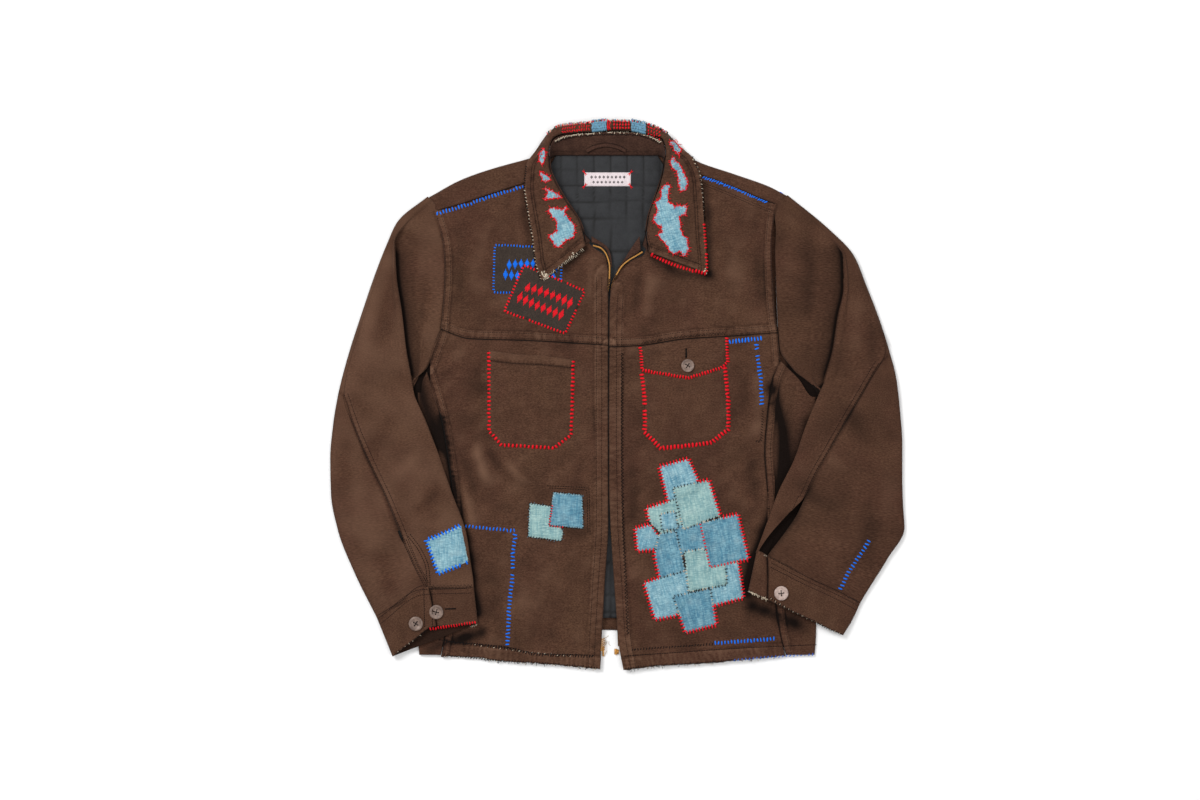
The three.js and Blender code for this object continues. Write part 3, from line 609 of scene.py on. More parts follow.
def walk(points, pitch, curved=True):
    """Places and directions along a line at about a pitch: x, y, and the unit direction."""
    path = dense(points) if curved else np.asarray(points, float)
    total = lengths(path)[-1]
    count = max(1, round(total / pitch))
    shares = (np.arange(count) + 0.5) / count
    places = line(path, shares, curved=False)
    ahead = line(path, np.minimum(1, shares + 0.5 / total), curved=False)
    behind = line(path, np.maximum(0, shares - 0.5 / total), curved=False)
    run = (ahead - behind)[:, :2]
    run /= np.maximum(np.linalg.norm(run, axis=1, keepdims=True), 1e-9)
    return places[:, :2], run


def sewn_bars(threads, points, pitch, length, width,
              lean=0.0, shift=0.0, curved=True, jitter=0.12, high=0.55):
    """Stitches across a line: length over it, lean tips them, shift moves them to its left."""
    for (x, y), (dx, dy) in zip(*walk(points, pitch, curved)):
        if rng.random() < MISSED:
            continue
        turn = lean + rng.normal(0, jitter)
        nx, ny = -dy * math.cos(turn) + dx * math.sin(turn), dx * math.cos(turn) + dy * math.sin(turn)
        size = length * rng.uniform(0.86, 1.12)
        slide = shift + rng.normal(0, 0.25)
        cx, cy = x - dy * slide, y + dx * slide
        a, b = (cx - nx * size / 2, cy - ny * size / 2), (cx + nx * size / 2, cy + ny * size / 2)
        threads.bar(a, b, width * rng.uniform(0.85, 1.12), high)


def machine_row(threads, points, pitch, width):
    """Machine stitches end to end along a line, with short gaps between them."""
    for (x, y), (dx, dy) in zip(*walk(points, pitch)):
        half = pitch * STITCH_SHARE / 2
        threads.dash((x - dx * half, y - dy * half), (x + dx * half, y + dy * half), width)


def zigzag(threads, points, pitch, depth, width):
    """Slanting stitches from side to side of a line."""
    places, runs = walk(points, pitch)
    for k in range(len(places) - 1):
        side = depth / 2 if k % 2 else -depth / 2
        (x0, y0), (x1, y1) = places[k], places[k + 1]
        (a0, b0), (a1, b1) = runs[k], runs[k + 1]
        threads.dash((x0 - b0 * side, y0 + a0 * side), (x1 + b1 * side, y1 - a1 * side), width)


# ------------------------------------------------------------------ what is laid on


def cutout(name, outline, gap, thickness, material,
           turn=0.0, fray=0.0, puff=0.5, spacing_mm=1.9, detail=None):
    """A flat piece cut to an outline, laid on whatever is there: its edge is sewn down."""
    outline = np.asarray(outline, float)
    closed = np.vstack([outline, outline[:1]])
    total = lengths(closed)[-1]
    rim = line(closed, np.arange(round(total / spacing_mm)) / round(total / spacing_mm), curved=False)
    if fray:
        centre = outline.mean(axis=0)
        pull = rng.normal(0, fray, len(rim))[:, None]
        rim = rim + (rim - centre) / np.linalg.norm(rim - centre, axis=1, keepdims=True) * pull
    low, high = rim.min(axis=0), rim.max(axis=0)
    gx, gy = np.meshgrid(np.arange(low[0], high[0], spacing_mm), np.arange(low[1], high[1], spacing_mm))
    gx = gx + (np.arange(gx.shape[0]) % 2)[:, None] * spacing_mm / 2
    inside = np.stack([gx.ravel(), gy.ravel()], axis=1)
    away = nearest(inside[:, 0], inside[:, 1], np.vstack([rim, rim[:1]]))[0]
    odd = np.zeros(len(inside), bool)
    for (ax, ay), (bx, by) in zip(rim, np.roll(rim, -1, axis=0)):
        crosses = (ay > inside[:, 1]) != (by > inside[:, 1])
        level = np.where(crosses, (inside[:, 1] - ay) / (by - ay if by != ay else 1e-9), 0)
        odd ^= crosses & (inside[:, 0] < ax + level * (bx - ax))
    inside = inside[odd & (away > spacing_mm * 0.55)]
    count = len(rim)
    plan = [Vector(p) for p in np.vstack([rim, inside])]
    edges = [(i, (i + 1) % count) for i in range(count)]
    verts, _, faces, _, _, _ = delaunay_2d_cdt(plan, edges, [], 1, 1e-6)
    xy = np.array([[v.x, v.y] for v in verts])
    away = nearest(xy[:, 0], xy[:, 1], np.vstack([rim, rim[:1]]))[0]
    level = ground.heights(xy)
    crown = puff * smooth(away / 5) - 0.35 * (1 - smooth(away / 2.0))
    z = level + gap + thickness + crown + 0.16 * puff * wobble(xy[:, 0], xy[:, 1], 14, 101)
    wear_and_shade = 0.1 * wobble(xy[:, 0], xy[:, 1], 18, 102)
    if detail is not None:
        rise, tone = detail(xy[:, 0], xy[:, 1], away)
        z, wear_and_shade = z + rise, wear_and_shade + tone
    top = np.column_stack([xy, z])
    bottom = np.column_stack([xy, np.minimum(level + gap, z - 0.3)])
    n = len(top)
    upward = []
    for f in faces:
        a, b, c = (xy[f[0]], xy[f[1]], xy[f[2]])
        ccw = (b[0] - a[0]) * (c[1] - a[1]) - (b[1] - a[1]) * (c[0] - a[0]) > 0
        upward.append(tuple(f) if ccw else tuple(f[::-1]))
    seen = dict.fromkeys((a, b) for f in upward for a, b in zip(f, f[1:] + f[:1]))
    walls = [(a, a + n, b + n, b) for a, b in seen if (b, a) not in seen]
    all_faces = upward + [tuple(i + n for i in f[::-1]) for f in upward] + walls
    c, s = math.cos(turn), math.sin(turn)
    warp, weft = xy[:, 0] * c + xy[:, 1] * s, xy[:, 1] * c - xy[:, 0] * s
    flat = np.column_stack([warp, weft, np.full(n, 3.0 * len(name))])
    both, wear_and_shade = np.vstack([top, bottom]), np.concatenate([wear_and_shade, wear_and_shade])
    obj = new_object(name, both, all_faces, material, wear_and_shade, np.vstack([flat, flat]))
    ground.lay(top, upward)
    spread = flat.max(axis=0) - flat.min(axis=0)
    corners = top[np.array(upward)]
    sides = corners[:, 1:] - corners[:, :1]
    area = 0.5 * np.linalg.norm(np.cross(sides[:, 0], sides[:, 1]), axis=1).sum()
    width, length = max(spread[0], SHEET_LEAST), max(spread[1], SHEET_LEAST)
    grow = max(1.0, math.sqrt(area / (width * length)))
    width, length = width * grow, length * grow
    area = max(area, AREA_LEAST * width * length)
    return obj, ((width * MM, length * MM), area * MM * MM)


def laid(name, node, slot, outline, gap, thickness, material, rests_on, **options):
    """A cutout that stands for one CAD node, which is hidden."""
    obj, size = cutout(name, outline, gap, thickness, material, **options)
    return cloth(obj, [node])


# One batch of stitches for each colour
red, blue, dark, cream, tone, gold, pale_blue = (Threads() for _ in range(7))


# ------------------------------------------------------------------ stitching by machine


def along(points, distances, threads=tone, pitch=3.1, width=0.75):
    """Rows of machine stitches at distances to the left of a seam."""
    for distance in distances:
        machine_row(threads, offset(points, distance), pitch, width)


# ------------------------------------------------------------------ how the front lies


def body_top(x, y):
    """Height of the front's cloth above the floor."""
    side = EDGE_DROP * np.minimum(1, np.abs(x) / HALF_CHEST) ** 4
    shoulder = SHOULDER_DROP * np.clip((y - 200) / 150, 0, 1) ** 2
    hem = HEM_DROP * smooth((-285 - y) / 70)
    return np.maximum(BODY_LOW, BODY_HIGH - side - shoulder - hem)


YOKE_SEAM = {
    "right": [[-242, 91], [-202, 78], [-133, 76], [-59, 72], [-12, 69]],
    "left": [[-10.6, 66.5], [32, 68.5], [91, 77.5], [153, 81.5], [221, 86.5]],
}
ARMHOLE = {
    "right": [[-252, 253], [-247, 238], [-240.5, 216], [-238, 197], [-237, 165], [-238, 142],
              [-240.5, 114], [-242, 91], [-248, 70], [-260, 38]],
    "left": [[220, 262], [216.5, 245], [213, 200], [214, 160], [217.5, 110], [221, 86.5], [224, 48]],
}
SIDE_SEAM = {
    "right": [[-261, 33], [-257, 21], [-242, -31], [-232, -89], [-226, -135], [-224, -175],
              [-228, -275], [-236, -325], [-242, -357]],
    "left": [[224, 48], [214, 24], [206, -35], [203, -76], [206, -120], [209, -160], [215, -259],
             [224, -325], [232, -357]],
}
FRONT_EDGE = {
    "right": [[-12, 163], [-12, -175], [-17, -262], [-21, -333], [-23, -377]],
    "left": [[-9, 141], [-10.6, 111], [-11.4, -35], [-10, -160], [-4, -259], [1, -333], [9, -379]],
}
HEM = {
    "right": [[-242, -359.5], [-198, -361], [-157, -367], [-106, -370], [-23, -377]],
    "left": [[9, -379], [60, -373], [117, -370], [159, -366], [232, -359]],
}

# Sewn bands: the seam, the side that the doubled cloth lies on (1 is its left), and the width
WELTS = [
    (YOKE_SEAM["right"], 1, 11),
    (YOKE_SEAM["left"], 1, 11),
    (ARMHOLE["right"], 1, 9.5),
    (ARMHOLE["left"], -1, 9.5),
    (SIDE_SEAM["right"], 1, 9),
    (SIDE_SEAM["left"], 1, 9.5),
    (FRONT_EDGE["right"], -1, 18),
    (FRONT_EDGE["left"], 1, 18),
    (HEM["right"], 1, 17),
    (HEM["left"], 1, 17),
]

# Creases in the fronts: a line, its height (below zero for a trough) and its half width
FRONT_CREASES = [
    ([[38, 190], [30, 150], [22, 104]], -2.4, 7),
    ([[52, 186], [45, 145], [36, 100]], 1.8, 9),
    ([[-40, 200], [-36, 160], [-34, 110]], 1.5, 9),
    ([[-205, 235], [-214, 170], [-212, 110]], -1.8, 13),
    ([[-185, 240], [-192, 180], [-190, 120]], 1.4, 14),
    ([[190, 235], [196, 170], [196, 110]], -1.7, 13),
    ([[150, 250], [165, 190], [168, 120]], 1.2, 18),
    ([[-180, -62], [-170, -88], [-146, -116]], -2.6, 6),
    ([[-196, -56], [-188, -92], [-170, -134]], 4.4, 8),
    ([[-222, -60], [-206, -104], [-190, -160]], -2.2, 8),
    ([[-216, -110], [-204, -150], [-196, -200]], 3.2, 9),
    ([[-158, -78], [-140, -106], [-112, -128]], 2.8, 7),
    ([[-215, 60], [-190, 20], [-184, -40]], -1.8, 12),
    ([[-45, -80], [-60, -150], [-50, -240]], -1.5, 16),
    ([[-80, -220], [-120, -260], [-150, -330]], 1.4, 20),
    ([[-190, -200], [-170, -250], [-176, -320]], -1.4, 16),
    ([[20, -60], [26, -120], [14, -200]], -1.7, 10),
    ([[160, 60], [176, 10], [176, -60]], -2.1, 10),
    ([[182, 60], [192, 0], [190, -80]], 1.5, 9),
    ([[170, -70], [186, -110], [188, -170]], -2.1, 10),
    ([[190, -230], [182, -280], [196, -340]], -1.8, 12),
    ([[60, -320], [110, -336], [170, -330]], -1.2, 12),
    ([[-120, 40], [-90, -10], [-110, -60]], -1.0, 24),
    ([[70, 20], [100, -20], [90, -60]], -1.0, 22),
]


# Deep shade where the body goes in under a sleeve or a fold: a line, half width and depth
SHADES = [
    ([[214, 10], [228, -60], [226, -116], [213, -165], [197, -203], [188, -225], [178, -270]], 9, 0.95),
    ([[262, -40], [240, -110], [222, -160]], 14, 0.7),
    ([[-240, -30], [-228, -110], [-206, -196], [-200, -240], [-192, -300]], 7, 0.85),
    ([[-276, 34], [-268, 0], [-256, -40], [-246, -70]], 12, 0.75),
    ([[-282, -358], [-240, -342], [-186, -326]], 9, 0.8),
    ([[190, -290], [240, -312], [290, -334]], 12, 0.75),
    ([[-104, 150], [-70, 176], [-44, 200]], 6, 0.5),
    ([[128, 164], [90, 168], [50, 190]], 7, 0.5),
    ([[126, 170], [126, 230], [121, 290]], 6, 0.55),
    ([[-130, 280], [-126, 240], [-118, 200], [-108, 160]], 6, 0.35),
]


def creased(x, y, creases):
    """Height, with painted light on the crests and painted shade in the troughs, from soft creases."""
    rise, wear_and_shade = np.zeros(x.shape), np.zeros(x.shape)
    for points, high, half in creases:
        path = line(points, 16)
        away, place, _ = nearest(x, y, path)
        total = lengths(path)[-1]
        ends = smooth(place / (0.35 * total)) * smooth((total - place) / (0.35 * total))
        shape = bell(away, half) * ends
        rise += high * shape
        # Painted light on the crests and painted shade in the troughs.
        wear_and_shade += 0.14 * high * shape
    return rise, wear_and_shade


def welted(x, y, welts):
    """Height and colour of sewn bands: a groove darkened with painted shade, then doubled cloth worn paler,
    with ladder puckers painted lighter on their crests and darker between, a worn pale lip, and painted
    shadow just past it.
    """
    rise, wear_and_shade = np.zeros(x.shape), np.zeros(x.shape)
    drift = wobble(x, y, 28, 5)
    for points, side, width in welts:
        away, place, turn = nearest(x, y, line(points, 48))
        on = turn * side > 0
        groove = bell(away, 1.0)
        band = on * smooth(away / 1.6) * (1 - smooth((away - width) / 1.6))
        pucker = np.sin(2 * math.pi * (place / 5.8 + 0.5 * drift)) * (0.65 + 0.35 * drift)
        lip = on * bell(away - width + 1.4, 1.3)
        past = on * bell(away - width - 1.6, 1.5)
        rise += -0.8 * groove + 0.6 * band + 0.22 * pucker * band
        # Painted shade in the groove and past the band, painted light on the puckers' crests; the band and
        # its lip are worn paler.
        wear_and_shade += -0.55 * (width < 15) * groove + (0.1 + 0.26 * pucker) * band + 0.3 * lip - 0.3 * past
    return rise, wear_and_shade


def shaded(x, y, wear_and_shade):
    """Painted shade: the colour made darker along the shade lines."""
    for points, half, deep in SHADES:
        wear_and_shade = wear_and_shade - deep * bell(nearest(x, y, line(points, 24))[0], half)
    return wear_and_shade


def front_form(x, y):
    """Height and colour of the fronts: how they lie, with creases, bands and soft waves; the colour carries
    wear and painted light and shade.
    """
    rise, wear_and_shade = creased(x, y, FRONT_CREASES)
    rise_sewn, wear_sewn = welted(x, y, WELTS)
    soft = 1.3 * wobble(x, y, 85, 21) + 0.55 * wobble(x, y, 34, 22) + 0.12 * wobble(x, y, 12, 24)
    # Painted shade along the shade lines, under the sleeves and folds.
    wear_and_shade = shaded(x, y, wear_and_shade)
    rise = np.maximum(rise + rise_sewn + soft, DEEPEST)
    return body_top(x, y) + rise, wear_and_shade + wear_sewn + 0.14 * wobble(x, y, 60, 23) + 0.1 * wobble(x, y, 26, 27)


def panel(name, rows, width, height):
    """A flat-lying panel of the front through rows of [x, y] points, top to bottom."""
    plan = loft(rows, spacing(height), spacing(width))
    near_hem = np.exp(-(((plan[..., 1] - np.array(rows[-1])[:, 1].mean()) / 16) ** 2)) * ("lower" in name)
    ragged = np.exp(-(((1 - spacing(height)[:, None]) * height / 5) ** 2)) * near_hem
    plan[..., 1] += ragged * (1.0 + 1.3 * wobble(plan[..., 0], plan[..., 0] * 0, 7, 26))
    x, y = plan[..., 0], plan[..., 1]
    z, wear_and_shade = front_form(x, y)
    grid = np.dstack([x, y, z])
    ground.lay_grid(grid)
    piece = shell(name + "_cloth", grid, BROWN, CLOTH, wear_and_shade, up=False)
    cloth(piece, [name])


# ------------------------------------------------------------------ body

SHOULDERS = {
    "right": {
        "seam": [[-100, 300], [-128, 291.5], [-172, 277.5], [-214, 263.5], [-252, 253]],
        "fold": [[-98, 332], [-125, 324], [-172, 311], [-214, 296], [-260, 271]],
    },
    "left": {
        "seam": [[70, 315], [117, 302.5], [162, 285.5], [209, 266.5], [221, 262.5]],
        "fold": [[68, 345], [113, 320], [160, 304], [208, 287], [235, 273]],
    },
}


def shoulder_grid(side):
    """The back's cloth where it comes over a shoulder to the seam on the front."""
    net = []
    for (sx, sy), (fx, fy) in zip(SHOULDERS[side]["seam"], SHOULDERS[side]["fold"]):
        top = float(body_top(sx, sy))
        length = math.hypot(fx - sx, fy - sy)
        dx, dy = (fx - sx) / length, (fy - sy) / length
        net.append([
            [fx - dx * d, fy - dy * d, z]
            for d, z in [
                (length, top - 0.6), (length * 0.9, top), (length * 0.5, top), (4, top - 0.9),
                (1.3, top - 2.2), (0.2, top * 0.6), (0.4, top * 0.3), (2, 0.8), (5, 0.2), (16, 0.1),
            ]
        ])
    grid = refine(net, np.linspace(0, 1, 61), np.linspace(0, 1, 31))
    grid[..., 2] += 0.35 * wobble(grid[..., 0], grid[..., 1], 30, 31) * smooth(grid[..., 2] / 5)
    return grid


def join(name, parts):
    """Several objects made into one piece."""
    bpy.ops.object.select_all(action="DESELECT")
    for part in parts:
        part.select_set(True)
    bpy.context.view_layer.objects.active = parts[0]
    bpy.ops.object.join()
    parts[0].name = name
    return parts[0]


def back():
    """The back: its flat middle and the two shoulders that turn over it, as one cloth."""
    rows = [
        [[-250, 262], [-196, 290], [-125, 314], [-92, 331], [64, 331], [111, 308], [173, 288], [226, 264]],
        [[-243, 235], [219, 235]],
        [[-236.5, 190], [218.5, 190]],
        [[-240, 100], [221, 95]],
        [[-266, 56], [262, 50]],
        [[-282, 24], [284, 20]],
        [[-285, -6], [285, -12]],
        [[-246.5, -100], [246.5, -100]],
        [[-246.5, -220], [246.5, -220]],
        [[-246.5, -346], [-150, -336], [-60, -323], [60, -323], [150, -336], [246.5, -349]],
    ]
    plan = loft(rows, np.linspace(0, 1, 91), np.linspace(0, 1, 71))
    x, y = plan[..., 0], plan[..., 1]
    beyond = smooth((np.abs(x) - 246) / 10) * (y < 80)
    flat = np.dstack([x, y, 0.25 + 0.2 * wobble(x, y, 50, 41) + 1.6 * beyond])
    grids = [flat, shoulder_grid("right"), shoulder_grid("left")]
    for grid in grids[1:]:
        ground.lay_grid(grid)
    # Painted shade: the back is darker where it runs on under the side panels and sleeves, and along the
    # shoulder seams where it goes under the yokes.
    wear_and_shade_maps = [-0.9 * smooth((np.abs(x) - 225) / 12)]
    for side, grid in zip(("right", "left"), grids[1:]):
        away = nearest(grid[..., 0], grid[..., 1], line(SHOULDERS[side]["seam"], 30))[0]
        wear_and_shade_maps.append(0.1 * wobble(grid[..., 0], grid[..., 1], 40, 32) - 0.8 * bell(away, 1.3))
    parts = [
        shell(f"back_panel_cloth_{i}", grid, BROWN, THIN, wear_and_shade, up)
        for i, (grid, wear_and_shade, up) in enumerate(zip(grids, wear_and_shade_maps, (True, False, True)))
    ]
    piece = join("back_panel_cloth", parts)
    cloth(piece, ["back_panel"])


def lining():
    """The quilted lining, seen in the open neck and between the fronts."""
    rows = [
        [[-84, 330], [56, 330]], [[-105, 300], [78, 300]], [[-205, 262], [185, 262]],
        [[-222, 180], [196, 180]], [[-222, 60], [205, 60]], [[-225, -100], [222, -100]],
        [[-225, -300], [-60, -306], [60, -306], [222, -300]],
    ]
    plan = loft(rows, np.linspace(0, 1, 171), np.linspace(0, 1, 121))
    x, y = plan[..., 0], plan[..., 1]
    square = QUILT_SQUARE
    across = np.abs(((x + 9 + 0.8 * wobble(x, y, 90, 51)) / square + 0.5) % 1 - 0.5) * square
    down = np.abs(((y + 4 + 0.8 * wobble(x, y, 90, 52)) / square + 0.5) % 1 - 0.5) * square
    seam = np.minimum(across, down)
    z = 4.6 + 1.3 * (1 - np.exp(-seam / 3.2)) + 0.2 * wobble(x, y, 12, 53)
    # Painted shade: darker in the quilting grooves.
    wear_and_shade = -0.9 * bell(seam, 1.1) + 0.1 * wobble(x, y, 9, 54)
    grid = np.dstack([x, y, z])
    ground.lay_grid(grid)
    piece = shell("back_lining_quilted", grid, LINING, 1.4, wear_and_shade, up=False)
    cloth(piece, ["back_lining"])


def lower(points):
    """A seam's line, for the piece below it."""
    return [[x, y - SEAM_GAP] for x, y in points]


def fronts():
    """Both front yokes and both lower fronts."""
    panel("front_yoke_right", [
        lower([[-252, 253], [-214, 263.2], [-172, 277.2], [-128, 291.2], [-100, 299.7]]),
        [[-247, 238], [-89, 277]], [[-240.5, 216], [-73, 251]], [[-238, 197], [-52, 223]],
        [[-237, 180], [-33, 204]], [[-237, 165], [-15, 189]], [[-238, 142], [-12, 163]],
        [[-240.5, 114], [-12, 115]], YOKE_SEAM["right"],
    ], 210, 190)
    panel("front_yoke_left", [
        lower([[70, 314.7], [117, 302.2], [162, 285.2], [209, 266.2], [220, 262.2]]),
        [[62, 290], [216.5, 245]], [[54, 262], [213.5, 225]], [[47, 235], [212.5, 200]],
        [[37, 194], [213, 175]], [[21, 186], [214, 160]], [[6, 174], [215.5, 143]],
        [[-3, 160], [216.5, 125]], [[-9, 141], [217.5, 110]], [[-10.6, 111], [219, 98]],
        YOKE_SEAM["left"],
    ], 210, 210)
    right, left = SIDE_SEAM["right"], SIDE_SEAM["left"]
    panel("front_lower_right", [
        lower(YOKE_SEAM["right"]), [[-257, 50], [-12, 45]], [right[1], [-12, 15]],
        [right[2], [-12, -31]], [right[3], [-12, -89]], [right[4], [-12, -135]],
        [right[5], [-12, -175]], [right[6], [-17, -262]], [[-231, -300], [-19, -300]],
        [right[7], [-21, -333]], HEM["right"],
    ], 230, 440)
    panel("front_lower_left", [
        lower(YOKE_SEAM["left"]), [[-10.8, 45], left[0]], [[-11, 18], left[1]],
        [[-11.4, -35], left[2]], [[-11, -76], left[3]], [[-11, -120], left[4]],
        [[-10, -160], left[5]], [[-4, -259], left[6]], [[-1, -300], [220, -300]],
        [[1, -333], left[7]], HEM["left"],
    ], 225, 440)


SIDE_CREASES = [
    ([[-252, 30], [-250, -30], [-244, -90]], -1.0, 6),
    ([[240, 30], [238, -40], [236, -110]], -1.2, 7),
    ([[256, 0], [252, -80], [250, -150]], 0.9, 8),
    ([[236, -240], [244, -290], [248, -340]], -1.0, 8),
]


def side_panel(name, seam, sign, edge_top):
    """The side of the body, from the front's seam round the fold to the flat of the back."""
    last = len(seam) - 1
    net = []
    for i, (sx, sy) in enumerate(seam):
        edge_y = min(sy, edge_top - 10 * i)
        x0 = sx + sign * SEAM_GAP
        fold = sign * (HALF_CHEST - 2 if i == last else HALF_CHEST)
        high = float(body_top(fold, edge_y))
        middle, middle_y = mix(x0, fold, 0.5), mix(sy, edge_y, 0.5)
        net.append([
            [x0, sy, float(body_top(x0, sy)) - 0.4],
            [mix(x0, middle, 0.3), mix(sy, middle_y, 0.3), float(body_top(x0, sy))],
            [middle, middle_y, float(body_top(middle, middle_y))],
            [fold - sign * 5, edge_y, high - 0.6],
            [fold - sign * 1.6, edge_y, high * 0.74],
            [fold - sign * 0.6, edge_y, high * 0.5],
            [fold - sign * 1.6, edge_y, high * 0.24],
            [fold - sign * 5, edge_y, 0.2],
            [sign * (HALF_CHEST - 28), mix(sy, edge_y, 0.8), 0.2],
        ])
    grid = refine(net, spacing(400), np.linspace(0, 1, 37))
    x, y = grid[..., 0], grid[..., 1]
    upper = smooth((grid[..., 2] - 4) / 2.5)
    rise, wear_and_shade = creased(x, y, SIDE_CREASES)
    rise_sewn, wear_sewn = welted(x, y, WELTS[4:6] if sign > 0 else WELTS[4:5])
    # Painted shade along the shade lines, where the side goes in under the sleeves.
    wear_and_shade = shaded(x, y, wear_and_shade)
    grid[..., 2] += upper * (rise + rise_sewn + 0.3 * wobble(x, y, 40, 61))
    ground.lay_grid(grid)
    piece = shell(name + "_cloth", grid, BROWN, THIN, upper * (wear_and_shade + wear_sewn), up=sign < 0)
    cloth(piece, [name])


back()
lining()
fronts()
side_panel("side_panel_right", SIDE_SEAM["right"], -1, 4)
side_panel("side_panel_left", SIDE_SEAM["left"], 1, -2)


# Chest pocket on the right, with its hemmed top edge
POCKET_RIGHT = [[-176, 62], [-176, -49], [-159, -68], [-86, -72], [-63, -54], [-60, 49], [-99, 55],
                [-139, 57]]
POCKET_RIGHT_HEM = [[-175, 48], [-139, 44], [-100, 42], [-61, 38]]


def hemmed(x, y, away):
    """The right chest pocket's hem: a band, worn paler, above a sewn groove darkened with painted shade, its
    ladder puckers painted lighter on their crests.
    """
    off, place, _ = nearest(x, y, line(POCKET_RIGHT_HEM, 20))
    groove = bell(off, 1.5)
    hem_x, hem_y = zip(*POCKET_RIGHT_HEM)
    above = y > np.interp(x, hem_x, hem_y)
    ladder = np.sin(2 * math.pi * place / 6) * above * bell(off - 3, 3)
    rise = 0.5 * above - 0.5 * groove + 0.1 * ladder
    # Painted shade in the groove and painted light on the ladder's crests; the band and the pocket's edge are
    # worn paler.
    wear_and_shade = 0.25 * above * bell(off - 8, 5) - 0.5 * groove + 0.12 * ladder + 0.1 * bell(away, 2.5)
    return rise, wear_and_shade


laid("chest_pocket_right_cloth", "chest_pocket_right", "brown_twill", POCKET_RIGHT, 0.4, 0.9, BROWN,
     "front_lower_right_cloth", detail=hemmed, puff=0.9)
POCKET_LEFT = [[34, 61], [34, 31], [38, -6], [38, -50], [60, -73], [129, -65], [153, -47], [153, -6],
               [149, 38], [150, 72], [92, 69]]
laid("chest_pocket_left_cloth", "chest_pocket_left", "brown_twill", POCKET_LEFT, 0.4, 0.9, BROWN,
     "front_lower_left_cloth", puff=0.9)
FLAP = [[32, 67.5], [34, 36], [38, 34], [98, 24], [143, 38], [153, 46], [151, 80.5], [91, 76.5]]
laid("pocket_flap_left_cloth", "pocket_flap_left", "brown_twill", FLAP, 0.5, 1.2, BROWN,
     "chest_pocket_left_cloth", puff=0.8)
WELT = [[207, -111], [217, -111], [217, -171], [207, -171]]
laid("pocket_welt_left_cloth", "pocket_welt_left", "brown_twill", WELT, 0.3, 0.9, BROWN,
     "side_panel_left_cloth", puff=0.3)

# Badges: plain dark cloth with rows of embroidered lozenges


def rounded(outline, radius=4.0, steps=4):
    """A closed outline with its corners rounded."""
    outline = np.asarray(outline, float)
    made = []
    for before, here, after in zip(np.roll(outline, 1, axis=0), outline, np.roll(outline, -1, axis=0)):
        into = (here - before) / np.linalg.norm(here - before)
        away = (after - here) / np.linalg.norm(after - here)
        for t in np.linspace(0, 1, steps):
            a, b = here - into * radius * (1 - t), here + away * radius * t
            made.append(mix(a, b, t))
    return np.array(made)


def lozenge_rows(threads, outline, rows, count, high, start, end, arch):
    """Bowed rows of embroidered lozenges across a badge, in its own directions."""
    corners = np.asarray(outline, float)
    across = (corners[3] - corners[0] + corners[2] - corners[1]) / 2
    down = (corners[1] - corners[0] + corners[2] - corners[3]) / 2
    origin = corners.mean(axis=0) - across / 2 - down / 2
    unit_x, unit_y = across / np.linalg.norm(across), down / np.linalg.norm(down)
    pitch = (end - start) * np.linalg.norm(across) / count
    for i, place in enumerate(rows):
        for k in range(count):
            u = mix(start, end, (k + 0.5) / count) - (0.05 if i else 0)
            bow = arch * (2 * u - 1.2) ** 2 * (-0.35 if i else 1)
            centre = origin + across * u + down * place + unit_y * bow
            for part in (-2, -1, 0, 1, 2):
                size = high * (1 - abs(part) * 0.36) * (1 + 0.12 * math.cos(2 * math.pi * u))
                spot = centre + unit_x * part * pitch * 0.15
                threads.bar(spot - unit_y * size / 2, spot + unit_y * size / 2, pitch * 0.2, 0.35)


def badge(place, outline, rests_on, thickness, puff, lozenges, border):
    """A badge's cloth, its lozenges and the bars round its edge. Returns the stitches."""
    laid(f"badge_{place}_cloth", f"badge_{place}", "badge_cloth", rounded(outline), 0.3, thickness,
         BADGE, rests_on, puff=puff)
    threads = Threads()
    lozenge_rows(threads, outline, *lozenges)
    closed = rounded(outline)
    sewn_bars(threads, np.vstack([closed, closed[:1]]), *border, curved=False, jitter=0.08)
    return threads


BADGE_UPPER = [[-168, 207], [-170, 142], [-78, 138], [-76, 203]]
BADGE_LOWER = [[-128, 179], [-155, 116], [-71, 85], [-44, 144]]
blue_badge = badge("upper", BADGE_UPPER, "front_yoke_right_cloth", 0.8, 0.3,
                   ((0.36, 0.64), 9, 15, 0.18, 0.98, 6), (4.1, 3.4, 2.0))
red_badge = badge("lower", BADGE_LOWER, "badge_upper_cloth", 0.9, 0.4,
                  ((0.34, 0.66), 8, 17, 0.14, 0.92, 6), (4.5, 3.9, 2.8))
blue_badge.make("badge_upper_stitching", BLUE)
red_badge.make("badge_lower_stitching", RED)

# Denim patches, in the order in which they were sewn on
CLUSTER = [
    ("mid", 0, 0.35, [[58, -98], [98, -87], [111, -115], [111, -132], [70, -146]]),
    ("pale", 1, 0.2, [[77, -127], [126, -116], [142, -165], [91, -184]]),
    ("pale", 0, 0.1, [[40, -155], [84, -141], [94, -184], [63, -193], [44, -173]]),
    ("mid", 1, 0.1, [[59, -163], [80, -159], [84.5, -183], [62, -186]]),
    ("mid", 0, -0.3, [[25, -183], [45, -177], [62, -199], [62, -211], [28, -214]]),
    ("deep", 1, 0.2, [[58, -190], [81, -186], [94, -241], [58, -251], [51, -218]]),
    ("deep", 0, 0.1, [[78, -180], [124, -168], [128, -214], [86, -220]]),
    ("deep", 2, 0.2, [[114, -175], [166, -163], [181, -225], [128, -236]]),
    ("pale", 1, 0.1, [[92, -215], [119, -210], [134, -224], [150, -236], [151, -260], [98, -270]]),
    ("mid", 0, 0.3, [[37, -258], [98, -236], [106, -270], [81, -303], [52, -308]]),
    ("deep", 2, 0.25, [[77, -276], [128, -264.5], [133, -292], [137, -315], [94, -326], [86, -303]]),
    ("mid", 0, 0.2, [[136, -232], [167, -229], [174, -278], [128, -290], [124, -262]]),
]
